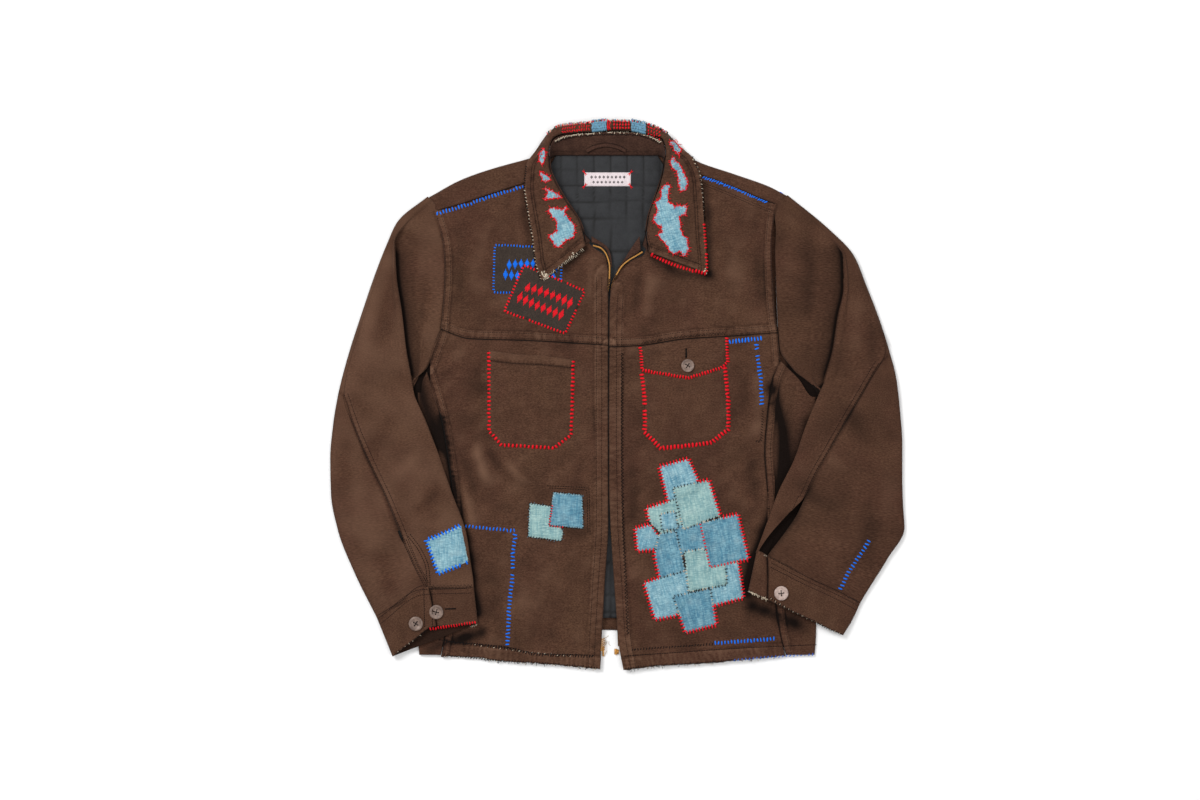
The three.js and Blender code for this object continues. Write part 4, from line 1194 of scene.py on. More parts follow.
DENIMS = {"pale": DENIM_PALE, "mid": DENIM_MID, "deep": DENIM_DEEP}
DENIM_SLOTS = {"pale": "denim_pale", "mid": "denim_mid", "deep": "denim_mid"}


def frayed(x, y, away):
    """Denim's cut edge: paler, with a few threads out of place."""
    edge = bell(away, 1.3)
    ring = bell(away - 3.2, 1.4)
    return 0.25 * ring * wobble(x, y, 5, 111), 0.45 * edge * (0.6 + 0.4 * wobble(x, y, 6, 112)) - 0.18 * ring


def fringe(outline, every, length):
    """Short pale thread ends round a cut edge."""
    closed = np.vstack([np.asarray(outline, float), outline[:1]])
    for (x, y), (dx, dy) in zip(*walk(closed, every, False)):
        turn = math.atan2(dy, dx) + rng.choice([-1, 1]) * math.pi / 2 + rng.normal(0, 0.6)
        pale_blue.hair((x, y), turn, length * rng.uniform(0.5, 1.3), 0.34, 1.4, 0.7)


order = sorted(range(len(CLUSTER)), key=lambda i: CLUSTER[i][1])
for i in order:
    shade, level, turn, at = CLUSTER[i]
    name = f"boro_patch_{i + 1:02d}"
    laid(name + "_cloth", name, DENIM_SLOTS[shade], at, 0.25, 0.8, DENIMS[shade],
         "front_lower_left_cloth", turn=turn, fray=0.35, puff=0.7, detail=frayed)
    fringe(at, 4.5, 2.6)

SMALL_PALE = [[-120, -148], [-92, -152], [-74, -188], [-76, -200], [-122, -194]]
SMALL_OVER = [[-88, -133], [-48, -137], [-46, -183], [-93, -179]]
laid("small_patch_pale_cloth", "small_patch_pale", "denim_pale", SMALL_PALE, 0.25, 0.8, DENIM_PALE,
     "front_lower_right_cloth", fray=0.35, detail=frayed)
fringe(SMALL_PALE, 4, 2.6)
laid("small_patch_over_cloth", "small_patch_over", "denim_mid", SMALL_OVER, 0.25, 0.8, DENIM_DEEP,
     "small_patch_pale_cloth", fray=0.35, detail=frayed)
fringe(SMALL_OVER, 4, 2.6)

laid("neck_label_cloth", "neck_label", "label", [[-45, 307], [-45, 288], [19, 288], [19, 307]],
     0.3, 0.5, LABEL, "back_lining_quilted", puff=0.2)
label_marks = Threads()
for row, (y, high) in enumerate(((300.5, 5.0), (293.6, 4.2))):
    for k in range(9 - row):
        x = -35 + 5.6 * k + 2.8 * row
        for part in (-1, 0, 1):
            size = high * (1 - 0.5 * abs(part))
            label_marks.bar((x + 1.1 * part, y - size / 2), (x + 1.1 * part, y + size / 2), 1.0, 0.12)
label_marks.make("neck_label_marks", DARK)
for x, y, turn in ((-44.5, 306.5, 2.2), (18.5, 306.5, 0.9), (-44.5, 288.5, 0.9), (18.5, 288.5, 2.2)):
    for tip in (-0.35, 0.25):
        dx, dy = 4.6 * math.cos(turn + tip), 4.6 * math.sin(turn + tip)
        red.bar((x - dx, y - dy), (x + dx, y + dy), 1.3, 0.7)

along(YOKE_SEAM["right"], (2.6, 9.6))
along(YOKE_SEAM["left"], (2.6, 9.6))
along(ARMHOLE["right"], (2.0, 8.2))
along(ARMHOLE["left"], (-2.0, -8.2))
along(SIDE_SEAM["right"], (1.8, 7.8))
along(SIDE_SEAM["left"], (0.8, 8.2))
along(FRONT_EDGE["right"], (-9, -16.5))
along(FRONT_EDGE["left"], (10.5, 17.5))
along([[117, 290], [160, 273], [213, 251]], (0, 3), dark, 2.6, 0.6)
zigzag(dark, [[33, 72], [90, 81], [151, 86]], 2.2, 3.2, 0.6)
zigzag(dark, [[7, 60], [7, -60], [8, -160], [12, -260], [15, -330]], 2.4, 3.8, 1.0)
along(POCKET_RIGHT_HEM, (0,))
FOLD_ROWS = {
    "right": [[-246, -336], [-203, -341.5], [-157, -345.5], [-106, -355], [-32, -357.5]],
    "left": [[10, -358.6], [90, -353], [180, -347], [275, -343]],
}
for points in FOLD_ROWS.values():
    along(points, (0,), dark, 3.4, 1.1)
SHOULDER_BARS = [[-128, 290], [-172, 276], [-214, 262], [-254, 250]]
sewn_bars(blue, SHOULDER_BARS, 4.4, 6.2, 2.3, shift=1.5, jitter=0.2)
sewn_bars(blue, [[118, 301], [162, 285], [207, 266]], 3.4, 7.0, 2.1, lean=0.5, jitter=0.4)
sewn_bars(dark, [[120, 303], [164, 287], [206, 271]], 5.0, 4.6, 1.2, lean=-0.4, jitter=0.6)
sewn_bars(blue, [[218, 268], [227, 280]], 3.2, 7.2, 2.7)
sewn_bars(blue, [[-210, -179], [-188, -182], [-164, -184], [-139, -186]], 4.7, 5.2, 2.2, jitter=0.2)
sewn_bars(blue, [[-140, -189], [-143, -218], [-144, -249], [-148, -288], [-150, -327], [-151, -345]],
          5.0, 6.2, 2.5, jitter=0.2)
sewn_bars(blue, [[153, 73.5], [200, 79]], 4.4, 6.5, 2.7)
sewn_bars(blue, [[191, 72], [194, 49], [198, 15], [199, -14]], 5.0, 6.2, 2.5, jitter=0.2)
sewn_bars(dark, [[201, -20], [197, -63], [190, -63]], 3.6, 4.2, 1.0, lean=0.5)
sewn_bars(dark, [[19, -350], [75, -346], [133, -342]], 4.0, 3.6, 1.5, lean=0.6, jitter=0.4)
sewn_bars(dark, [[-240, -338], [-157, -347], [-106, -356.5], [-32, -359]], 3.8, 5.0, 1.6,
          lean=0.3, jitter=0.5)
sewn_bars(cream, [[-200, -343], [-130, -352], [-60, -359]], 9.0, 2.4, 0.8, lean=0.4, jitter=0.4)
for _ in range(150):
    spot = line(HEM["right"] if rng.random() < 0.5 else HEM["left"], np.array([rng.random()]))[0]
    batch = dark if rng.random() < 0.75 else cream
    batch.hair(spot + [0, 1.5], rng.uniform(-2.8, -0.4), rng.uniform(2, 5), 0.5, 1.6, 0.5)
sewn_bars(blue, [[133, -341], [175, -338], [218, -334.5]], 4.6, 5.5, 2.5)
sewn_bars(blue, [[159, -364.5], [232, -358.5], [272, -356.5]], 5.2, 3.9, 1.3, lean=0.4)
sewn_bars(dark, [[10, -376], [60, -371], [117, -368], [159, -364]], 3.6, 4.2, 1.5, lean=0.5, jitter=0.4)
sewn_bars(dark, [[-240, -357], [-157, -365], [-106, -368], [-26, -375]], 3.8, 3.8, 1.4, lean=0.5, jitter=0.4)

POCKET_RIGHT_RED = [[-176, 61], [-176, -49], [-159, -68], [-86, -72], [-63, -54], [-60, 49]]
sewn_bars(red, POCKET_RIGHT_RED, 5.5, 5.2, 3.4, curved=False, high=0.8)
POCKET_LEFT_RED = [[34, 31], [38, -6], [38, -50], [60, -73], [129, -65], [153, -47], [153, -6], [148, 40]]
sewn_bars(red, POCKET_LEFT_RED, 5.0, 6.4, 3.6, curved=False, high=0.8)
sewn_bars(red, [[32, 67.5], [34, 36], [38, 34], [98, 24], [143, 38], [152, 46], [151, 80.5]], 4.0, 5.0, 2.9,
          curved=False, high=0.7)


# The flap's buttonhole
dark.tube([[95, 64, ground.height(95, 64) + 0.2], [95, 52, ground.height(95, 52) + 0.2]], [1.0, 1.0], 6, 0.5)
sewn_bars(dark, [[95, 65], [95, 51]], 1.3, 3.4, 0.8, jitter=0.05, high=0.4)


def inside_outline(x, y, outline):
    """Whether a place is within a closed outline."""
    odd = False
    for (ax, ay), (bx, by) in zip(outline, [*outline[1:], outline[0]]):
        if (ay > y) != (by > y) and x < ax + (y - ay) / (by - ay) * (bx - ax):
            odd = not odd
    return odd


# Patches that carry red stitches on edges inside the cluster too, by place in the list
RED_INSIDE = {4: (0, 1, 2, 3, 4), 7: (2, 3)}


def cluster_stitches():
    """Red bars round the outside of the cluster; dark and cream ones where patches overlap."""
    rank = {i: k for k, i in enumerate(order)}
    for i, (_, _, _, at) in enumerate(CLUSTER):
        others = [k for k in range(len(CLUSTER)) if k != i]
        centre = np.mean(at, axis=0)
        for edge, (start, end) in enumerate(zip(at, [*at[1:], at[0]])):
            for (x, y), (dx, dy) in zip(*walk([start, end], 4.6, False)):
                nx, ny = dy, -dx
                if (x - centre[0]) * nx + (y - centre[1]) * ny < 0:
                    nx, ny = -nx, -ny
                if any(rank[k] > rank[i] and inside_outline(x, y, CLUSTER[k][3]) for k in others):
                    continue
                beyond = any(
                    inside_outline(x + nx * reach, y + ny * reach, CLUSTER[k][3])
                    for k in others for reach in (0.5, 2.5, 5)
                )
                lean = rng.normal(0, 0.12)
                ax, ay = nx + dx * lean, ny + dy * lean
                if not beyond:
                    threads, size, inward, width, high = red, rng.uniform(5.6, 7.0), 0.4, 2.3, 0.8
                elif edge in RED_INSIDE.get(i, ()):
                    threads, size, inward, width, high = red, rng.uniform(2.8, 4.4), 0.5, 1.9, 0.7
                else:
                    size, inward, width, high = rng.uniform(3.0, 4.6), 0.5, 1.3, 0.5
                    threads = cream if rng.random() < 0.35 else dark
                start_at = (x - ax * size * inward, y - ay * size * inward)
                end_at = (x + ax * size * (1 - inward), y + ay * size * (1 - inward))
                threads.bar(start_at, end_at, width, high)


cluster_stitches()
small_dark = [*SMALL_OVER, SMALL_OVER[0]]
sewn_bars(dark, small_dark, 3.6, 3.6, 1.0, lean=0.4, curved=False)
sewn_bars(dark, [SMALL_PALE[k] for k in (1, 0, 4, 3, 2)], 3.8, 3.4, 1.0, lean=0.4, curved=False)
sewn_bars(red, [[-88.5, -150], [-93, -179], [-73, -181]], 3.6, 2.8, 1.8, curved=False)
for ring in (6, 9):
    box = [[-88 - ring, -133 + ring], [-48 + ring, -137 + ring], [-46 + ring, -183 - ring]]
    along(box, (0,), dark, 3.6, 0.8)


# ------------------------------------------------------------------ collar

# Stations from the right front end round the neck to the left one: the neck seam, the fold,
# the outline, the fold's height, and how far the outer cloth tucks under (0 to 1).
COLLAR = [
    ([-35.5, 213], [-43, 206], [-104, 158], 18, 0),
    ([-52, 232], [-50, 235], [-112, 182], 19, 0),
    ([-63, 248], [-60, 252], [-116, 215], 20, 0),
    ([-77, 267], [-72, 270], [-122, 250], 21, 0),
    ([-90, 290], [-85, 293], [-127, 284], 23, 0),
    ([-96.5, 310], [-93, 314], [-125, 316], 24, 0),
    ([-94, 322], [-94, 334], [-112, 338], 25, 0.15),
    ([-84, 329.5], [-88, 352], [-94, 363], 26, 0.6),
    ([-60, 329.5], [-72, 359], [-78, 371.5], 26, 1),
    ([-34, 329.5], [-36, 361.5], [-36, 375.5], 26, 1),
    ([-12, 329.5], [-12, 363], [-12, 378], 26, 1),
    ([18, 329.5], [20, 362.5], [20, 377], 26, 1),
    ([38, 329.5], [43, 358], [46, 372], 26, 1),
    ([56, 329.5], [62, 352], [69, 362], 26, 0.6),
    ([64, 326], [67, 333], [85, 345], 25, 0.15),
    ([62.5, 308], [64, 309], [104, 327], 24, 0),
    ([57.5, 287], [58, 287], [115, 300], 23, 0),
    ([50, 263], [50, 264], [118, 262], 21, 0),
    ([43, 240], [43, 241], [120, 225], 20, 0),
    ([38.5, 222], [41, 222], [123, 190], 19, 0),
    ([34.5, 207], [44, 197], [124, 168], 18, 0),
]
COLLAR_EDGE = {
    "right": [station[2] for station in COLLAR[:7]],
    "left": [station[2] for station in COLLAR[14:]],
}
COLLAR_FRONT = {"right": [COLLAR[0][1], COLLAR[0][2]], "left": [COLLAR[-1][1], COLLAR[-1][2]]}


def collar():
    """The turned-down collar, and the stand inside the neck."""
    net, stand_net = [], []
    for neck, roll, edge, high, tuck in COLLAR:
        neck, roll, edge = np.array(neck), np.array(roll), np.array(edge)
        width = np.linalg.norm(edge - roll)
        out = (edge - roll) / width
        surface = float(body_top(*edge)) + 4.2

        def at(d, z):
            return np.array([*(roll + out * d), z])

        leaf = [
            at(0, high - 3.6), at(0.02 * width, high - 1.4), at(0.07 * width, high - 0.2),
            at(0.2 * width, high - 0.6), at(0.4 * width, mix(high, surface, 0.3) + 1.4),
            at(0.62 * width, mix(high, surface, 0.62) + 1.6), at(0.85 * width, surface + 2.1),
            at(0.96 * width, surface + 1.6), at(width, surface + 0.6),
        ]
        back_leaf = [
            at(0, high - 3.6), at(0.1 * width, high - 1.4), at(0.3 * width, high - 0.2),
            at(0.55 * width, high - 0.8), at(0.8 * width, high - 3), at(width, high * 0.6),
            at(width - 0.5, high * 0.3), at(width - 2.5, 1.6), at(-22, 0.3),
        ]
        net.append([mix(a, b, tuck) for a, b in zip(leaf, back_leaf)])
        top_edge = mix(roll, edge, -2.6 / width)
        foot = mix(float(body_top(*neck)) - 1, 2.6, float(smooth(tuck * 1.6)))
        stand_net.append([
            [*mix(neck, top_edge, t), mix(foot, high - 3.4, t ** 0.8)] for t in (0, 0.35, 0.7, 1)
        ])
    grid = refine(net, np.linspace(0, 1, 221), np.linspace(0, 1, 51))
    x, y, z = grid[..., 0], grid[..., 1], grid[..., 2]
    normal = grid_normals(grid)
    if normal[60, 30, 2] < 0:
        normal = -normal
    upper = smooth(normal[..., 2] / 0.35)
    away = np.full(x.shape, 1e9)
    for side in ("right", "left"):
        edge = COLLAR_EDGE[side] if side == "right" else COLLAR_EDGE[side][::-1]
        rim = line([COLLAR_FRONT[side][0], *edge], 60, curved=False)
        away = np.minimum(away, nearest(x, y, rim)[0])
    ripple = wobble(x, y, 9, 91)
    near = smooth(away / 2) * (1 - smooth((away - 12) / 4))
    rows_sewn = bell(away - 8.2, 1.1) + bell(away - 11.6, 1.1)
    lift_up = 0.45 * wobble(x, y, 34, 92) + 0.3 * ripple * near - 0.45 * rows_sewn
    grid += normal * (upper * lift_up)[..., None]
    # Painted light and shade: the ripples by the edge lighter on their crests and darker between, and painted
    # shade in the grooves of the sewn rows; the edge itself is worn paler.
    wear_and_shade = upper * (
        0.2 * ripple * near - 0.35 * rows_sewn + 0.12 * wobble(x, y, 30, 93) + 0.3 * bell(away, 2.5)
    )
    ground.lay_grid(grid)
    piece = shell("collar_cloth", grid, BROWN, 1.5, wear_and_shade, up=bool(grid_normals(grid)[60, 30, 2] > 0))
    cloth(piece, ["collar"])

    stand = refine(stand_net, np.linspace(0, 1, 161), np.linspace(0, 1, 19))
    x, y = stand[..., 0], stand[..., 1]
    foot_line = line([station[0] for station in COLLAR], 80)
    away = nearest(x, y, foot_line)[0]
    # Painted shade at the stand's foot, where it meets the body in the neck; it is also darker along a line 6
    # mm above.
    wear_and_shade = -0.8 * bell(away, 1.6) - 0.3 * bell(away - 6, 0.9) + 0.15 * wobble(x, y, 16, 94)
    stand[..., 2] += 0.35 * wobble(x, y, 20, 95)
    ground.lay_grid(stand)
    up = bool(grid_normals(stand)[110, 12, 2] > 0)
    piece = shell("collar_stand_cloth", stand, BROWN_TAPE, 1.1, wear_and_shade, up=up)
    cloth(piece, ["collar_stand"])


collar()


def strip(name, centre, half, material, thickness=0.9, wear_and_shade=0.0):
    """A narrow tape along a line of [x, y, z] points."""
    centre = dense(centre)
    run = np.gradient(centre[:, :2], axis=0)
    run /= np.linalg.norm(run, axis=1, keepdims=True)
    side = np.stack([-run[:, 1], run[:, 0], np.zeros(len(run))], axis=1)
    grid = np.stack([centre + side * half * t for t in np.linspace(1, -1, 5)], axis=1)
    grid[:, :, 2] += 0.3 * (1 - np.linspace(-1, 1, 5) ** 2)[None, :]
    return shell(name, grid, material, thickness, np.full(grid.shape[:2], wear_and_shade), up=False)


arch = [[-42, 336], [-30, 341.5], [-15, 344], [0, 341.5], [12, 336]]
loop = strip("hanger_loop_cloth", [[x, y, 5.6 + (y - 329.5) * 0.53] for x, y in arch], 2.3, BROWN_TAPE)
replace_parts(loop, "hanger_loop")

COLLAR_CUTS = [
    [[-100, 340], [-106, 329], [-104, 317], [-98, 325]],
    [[-107, 307], [-100, 293], [-91, 296]],
    [[-100, 285], [-95, 277], [-100, 269], [-91, 271], [-76, 273], [-92, 280]],
    [[-95, 254], [-84, 256], [-74, 254], [-69, 259], [-73, 251], [-69, 243], [-58, 234], [-60, 218],
     [-67, 215], [-82, 203], [-88, 212], [-92, 218], [-82, 226], [-82, 238], [-88, 247]],
    [[75, 350], [73, 346], [84, 330], [88, 336], [80, 348]],
    [[76, 326], [73, 320], [85, 302], [87, 281], [95, 282], [96, 296], [89, 310], [81, 322]],
    [[65, 289], [73, 286], [69, 281], [69, 266], [78, 260], [95, 259], [95, 249], [85, 247],
     [85, 233], [89, 222], [95, 215], [98, 198], [92, 192], [87, 199], [78, 196], [71, 199],
     [72, 203], [57, 219], [62, 225], [62, 233], [54, 237], [49, 241], [54, 248], [55, 256],
     [53, 262], [62, 273], [62, 284]],
]


def closed_turn(points):
    """Positive when a closed line runs counter-clockwise."""
    return sum(ax * by - bx * ay for (ax, ay), (bx, by) in zip(points, points[1:]))


def ragged(outline):
    """A closed outline grown a little, with a torn, uneven edge."""
    closed = np.vstack([outline, outline[:1]])
    places, ways = walk(closed, 2.6, False)
    out = np.stack([ways[:, 1], -ways[:, 0]], axis=1) * (1 if closed_turn(closed) > 0 else -1)
    return places + out * np.clip(rng.normal(0.9, 0.9, len(places)), -0.4, 2.4)[:, None]


collar_red = Threads()
for i, cut_line in enumerate(COLLAR_CUTS):
    name = f"collar_applique_{i + 1}"
    outline = ragged(cut_line)
    laid(name + "_cloth", name, "denim_mid", outline, 0.2, 0.6, DENIM_MID, "collar_cloth",
         turn=0.3, fray=0.25, puff=0.4, spacing_mm=1.4)
    closed = np.vstack([outline, outline[:1]])
    for (x, y), (dx, dy) in zip(*walk(closed, 2.5, False)):
        turn = rng.normal(0, 0.6)
        nx, ny = dy * math.cos(turn) + dx * math.sin(turn), -dx * math.cos(turn) + dy * math.sin(turn)
        size = rng.uniform(1.8, 5.0)
        side = rng.choice([-1, 1], p=[0.35, 0.65]) * (1 if closed_turn(closed) > 0 else -1)
        a, b = (x - nx * side * 0.8, y - ny * side * 0.8), (x + nx * side * size, y + ny * side * size)
        collar_red.bar(a, b, 1.0, 0.5)
    sewn_bars(collar_red, closed, 2.6, 2.2, 1.5, lean=1.2, curved=False, jitter=0.5, high=0.5)
collar_red.make("collar_applique_stitching", RED)


# ------------------------------------------------------------------ facings and zip

ZIP_LINE = {
    "right": [[-33, 206], [-23, 203], [-14, 192], [-10.2, 176], [-10.6, 160], [-13.5, 140],
              [-15, 100], [-15, -170], [-20, -262], [-21.5, -300], [-23.5, -345]],
    "left": [[35.2, 197.4], [27, 192.3], [17, 186.5], [6.5, 177.5], [-1, 165.5], [-6, 153],
             [-7.5, 141], [-7.8, 120], [-7.8, -160], [-1, -259], [1, -300], [3, -345]],
}
FACINGS = {
    "right": [[[-35, 219], [-35, 210.5]], [[-24, 212], [-24.5, 207]], [[-12.5, 203], [-14.5, 200]],
              [[-8, 190], [-10.5, 189]], [[-6.8, 176], [-8.2, 176]]],
    "left": [[[31, 219], [32.5, 199.8]], [[26, 212], [27, 194.8]], [[16, 197], [17.5, 189.5]],
             [[8, 184], [9, 182.5]], [[0.4, 174.5], [1.2, 173.5]]],
}
teeth = Threads()
for side in ("right", "left"):
    rows = FACINGS[side]
    plan = loft(rows, np.linspace(0, 1, 25), np.linspace(0, 1, 7))
    z = body_top(plan[..., 0], plan[..., 1]) + 0.9
    grid = np.dstack([plan, z])
    up = bool(grid_normals(grid)[12, 3, 2] > 0)
    piece = shell(f"front_facing_{side}_cloth", grid, BROWN_TAPE, 1.0, up=up)
    (wide, long), area = cut(grid)
    wide = max(wide, SHEET_LEAST * MM)
    size = ((wide, long), max(area, AREA_LEAST * wide * long))
    cloth(piece, [f"front_facing_{side}"])
    sunk = [float(body_top(x, y)) + (1.9 if i < 5 else -1.6) for i, (x, y) in enumerate(ZIP_LINE[side])]
    centre = [[x, y, z] for (x, y), z in zip(ZIP_LINE[side], sunk)]
    tape = strip(f"zip_tape_{side}_cloth", centre, 1.5, BROWN_TAPE, 0.8, -0.5)
    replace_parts(tape, f"zip_tape_{side}")
    sign = 1 if side == "right" else -1
    path = dense(centre)
    total = lengths(path)[-1]
    count = int(total / TOOTH_PITCH)
    shares = (np.arange(count) + 0.5) / count
    places = line(path, shares, curved=False)
    for k, (x, y, z) in enumerate(places):
        a = places[max(0, k - 1)][:2]
        b = places[min(len(places) - 1, k + 1)][:2]
        dx, dy = (b - a) / np.linalg.norm(b - a)
        nx, ny = -dy * sign, dx * sign
        top = z + 0.45
        tooth = [[x - nx * 1.2, y - ny * 1.2, top], [x + nx * 1.3, y + ny * 1.3, top]]
        teeth.tube(tooth, [0.75, 0.75], 4, 0.9)
teeth.make("zip_teeth", BRASS, "brass")

ends = Threads()
ends.tube([[-19, -346, 1.4], [-19, -352, 1.4], [-19, -359, 1.4]], [1.0, 1.2, 1.2], 8)
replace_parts(ends.make("zip_pin_right_metal", BRASS, "brass"), "zip_pin_right")
ends = Threads()
ends.tube([[-1.5, -349, 1.5], [-1.5, -350, 1.6], [-1.5, -356, 1.6], [-1.5, -357, 1.5]],
          [1.6, 2.2, 2.2, 1.6], 4, 0.6)
ends.tube([[1.5, -350, 1.4], [1.5, -356, 1.4]], [0.9, 0.9], 6)
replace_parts(ends.make("zip_box_left_metal", BRASS, "brass"), "zip_box_left")

for side in ("right", "left"):
    along(COLLAR_EDGE[side], (-8.2, -11.6))
    inner = -1 if side == "right" else 1
    along(COLLAR_FRONT[side], (inner * 7.5,))
along([[38, 227], [45, 200]], (0, 2.6), dark, 2.6, 0.7)
# Collar edges
sewn_bars(red, [[120, 237], [123.4, 190], [124, 169]], 4.4, 4.2, 2.9, shift=-0.6, high=0.7)
sewn_bars(red, [[123, 167], [89, 176], [63, 186], [46, 194]], 4.2, 5.2, 3.1, high=0.8)
sewn_bars(dark, [[103, 329], [113, 304], [119, 262], [120, 240]], 3.2, 3.4, 1.7, lean=0.4, jitter=0.3)
sewn_bars(cream, [[104, 327], [115, 300], [119, 262], [120, 245]], 6.0, 2.6, 1.3, lean=0.4, jitter=0.4)
sewn_bars(dark, COLLAR_EDGE["right"][:6], 3.2, 3.4, 1.7, lean=0.4, jitter=0.3)
sewn_bars(cream, COLLAR_EDGE["right"][:5], 5.0, 2.8, 1.3, lean=0.4, jitter=0.4)
COLLAR_TIP = [[-102, 159], [-91, 167], [-76, 179], [-60, 190], [-46, 201]]
sewn_bars(cream, COLLAR_TIP, 2.4, 4.4, 1.1, jitter=0.5, high=0.8)
sewn_bars(dark, COLLAR_TIP, 3.4, 4.8, 1.1, jitter=0.5, high=0.7)
for centre, count, reach in (([-98, 163], 30, 1.7), ([-102, 168], 8, 1.6), ([122, 170], 7, 1.6),
                             ([-60, 190], 8, 3)):
    for _ in range(count):
        spot = np.array(centre) + rng.normal(0, reach, 2)
        turn = rng.uniform(0, 2 * math.pi)
        cream.bar(spot, spot + 2.4 * np.array([math.cos(turn), math.sin(turn)]), 1.5, 0.9)

# Back of the collar
for low in (0.6, 5.2, 9.8):
    sewn_bars(red, [[-76, 360 + low], [-53, 362.5 + low], [-37, 364 + low]], 3.2, 3.6, 1.6,
              jitter=0.8, high=1.2)
    sewn_bars(red, [[-14, 365.5 + low], [-9, 366 + low]], 2.2, 5.6, 1.8, jitter=0.3, high=1.2)
    sewn_bars(red, [[41, 358.5 + low], [49, 355.5 + low], [60, 350 + low]], 4.6, 3.6, 1.6,
              jitter=0.8, high=1.2)
for high, tall in ((375.6, 3.4), (371.2, 3.4), (366.8, 3.4)):
    sewn_bars(red, [[-6, high], [18, high - 0.6]], 4.2, tall, 2.5, jitter=0.35, high=0.9)
    sewn_bars(dark, [[-8, high - 2], [19, high - 2.6]], 2.6, 1.6, 1.6, jitter=0.3, high=0.6)
NECK_FRAY = [[-86, 349], [-66, 356], [-36, 359], [-12, 360.5], [20, 360], [43, 355.5], [60, 347]]
sewn_bars(cream, NECK_FRAY, 2.6, 4.2, 1.3, lean=0.7, jitter=0.7, high=0.9)
sewn_bars(dark, [[x, y - 2.6] for x, y in NECK_FRAY], 3.0, 3.4, 1.3, lean=0.7, jitter=0.6, high=0.8)
OUTER = [[-96, 360], [-78, 371], [-36, 375.5], [-12, 378], [20, 377], [46, 372], [69, 361]]
for _ in range(190):
    spot = line(OUTER, np.array([rng.random()]))[0]
    batch = (dark, red, cream, pale_blue)[int(rng.integers(4))]
    turn = rng.uniform(0, math.pi)
    batch.bar(spot - [0, 2.6], spot + [1.8 * math.cos(turn), 1.6 * math.sin(turn)], 1.4, 1.2)
for side in ("right", "left"):
    upper = ZIP_LINE[side][:5]
    gold.tube([[x, y, float(body_top(x, y)) + 2.7] for x, y in dense(upper)], [0.95] * (12 * len(upper)), 6)
# Painted shadow: rows of dark stitches on either side of the hanger loop stand for the shade round it.
for away in (-2.8, 2.8):
    along([[x, y] for x, y in arch], (away,), dark, 2.4, 0.9)

# Darned denim on the back of the collar
for start, end in ((-34, -15), (20, 39)):
    for x in np.arange(start, end, 1.1):
        high = float(np.interp(x, [-36, -12, 20, 46], [375, 377.5, 376.5, 371]))
        for low in (-14.5, -11, -7.5, -4, -0.5):
            shift = rng.normal(0, 0.5, 2)
            pale_blue.bar((x + shift[0], high + low), (x, high + low + 3.8 + shift[1]), 1.5, 1.2)


# ------------------------------------------------------------------ sleeves

# Each row from the shoulder to the cuff: the outer fold, the inner fold, the armhole seam down to
# the underarm, and how far the upper layer bows towards the shoulder.
SLEEVES = {
    "right": {"sign": -1, "rows": [
        {"outer": [-261, 274], "inner": [-254, 268], "hole": [-246, 259], "deep": 0},
        {"outer": [-302, 240], "inner": [-290, 236], "hole": [-245.5, 232], "deep": 0.25},
        {"outer": [-316, 211], "inner": [-305, 211], "hole": [-240.5, 208]},
        {"outer": [-334, 165], "inner": [-303, 165], "hole": [-239, 172]},
        {"outer": [-352, 112], "inner": [-296, 118], "hole": [-244, 104]},
        {"outer": [-367, 66], "inner": [-290, 66], "hole": [-253, 70]},
        {"outer": [-378, 27], "inner": [-283, 27], "hole": [-264.5, 37]},
        {"outer": [-385, -3], "inner": [-279, 4]},
        {"outer": [-391, -40], "inner": [-262, -36]},
        {"outer": [-395, -86], "inner": [-243, -86]},
        {"outer": [-394, -135], "inner": [-226, -135]},
        {"outer": [-384, -187], "inner": [-207, -188]},
        {"outer": [-362, -243], "inner": [-201, -228], "bow": 8},
        {"outer": [-331, -305.5], "inner": [-197, -259.5], "bow": 22},
        {"outer": [-329, -309.5], "inner": [-197, -263.5], "bow": 22, "sunk": 2.2},
    ]},
    "left": {"sign": 1, "rows": [
        {"outer": [235, 276], "inner": [227, 270], "hole": [216, 263], "deep": 0},
        {"outer": [292, 229], "inner": [280, 228], "hole": [223, 228], "deep": 0},
        {"outer": [326, 193], "inner": [311, 190], "hole": [222, 195], "deep": 0.7},
        {"outer": [344, 150], "inner": [312, 150], "hole": [223, 160]},
        {"outer": [362, 103], "inner": [304, 108], "hole": [225, 112]},
        {"outer": [375, 62], "inner": [297, 62], "hole": [228, 66]},
        {"outer": [385, 22], "inner": [286, 22], "hole": [248, 33]},
        {"outer": [390, -22], "inner": [275, -3]},
        {"outer": [393, -66], "inner": [259, -42]},
        {"outer": [393, -112], "inner": [243, -88]},
        {"outer": [394, -150], "inner": [221, -133]},
        {"outer": [396, -182], "inner": [211, -160]},
        {"outer": [372, -226], "inner": [199, -193]},
        {"outer": [335, -286], "inner": [192, -212]},
        {"outer": [333, -290], "inner": [191, -216], "sunk": 2.2},
    ]},
}

# The elbow seam, and the opening at the left cuff: the edges of the under and the top piece
ELBOW = {
    "right": [[-386, 8], [-377, 1], [-363, -40], [-343, -88], [-320, -135], [-299, -184], [-281, -230],
              [-262, -264], [-257, -300], [-256, -320]],
    "left": [[386, 66], [362, 44], [338, 4], [313, -38], [291, -76], [271, -111], [257.5, -141],
             [246, -165], [226, -194], [213, -209.5], [204, -223], [200, -230]],
}
SLIT = [[386, 66], [362, 44], [338, 4], [313, -38], [291, -76], [271, -111], [257.5, -141],
        [236, -161], [220.5, -178.5], [202, -199.5], [194, -213.5], [190, -222]]


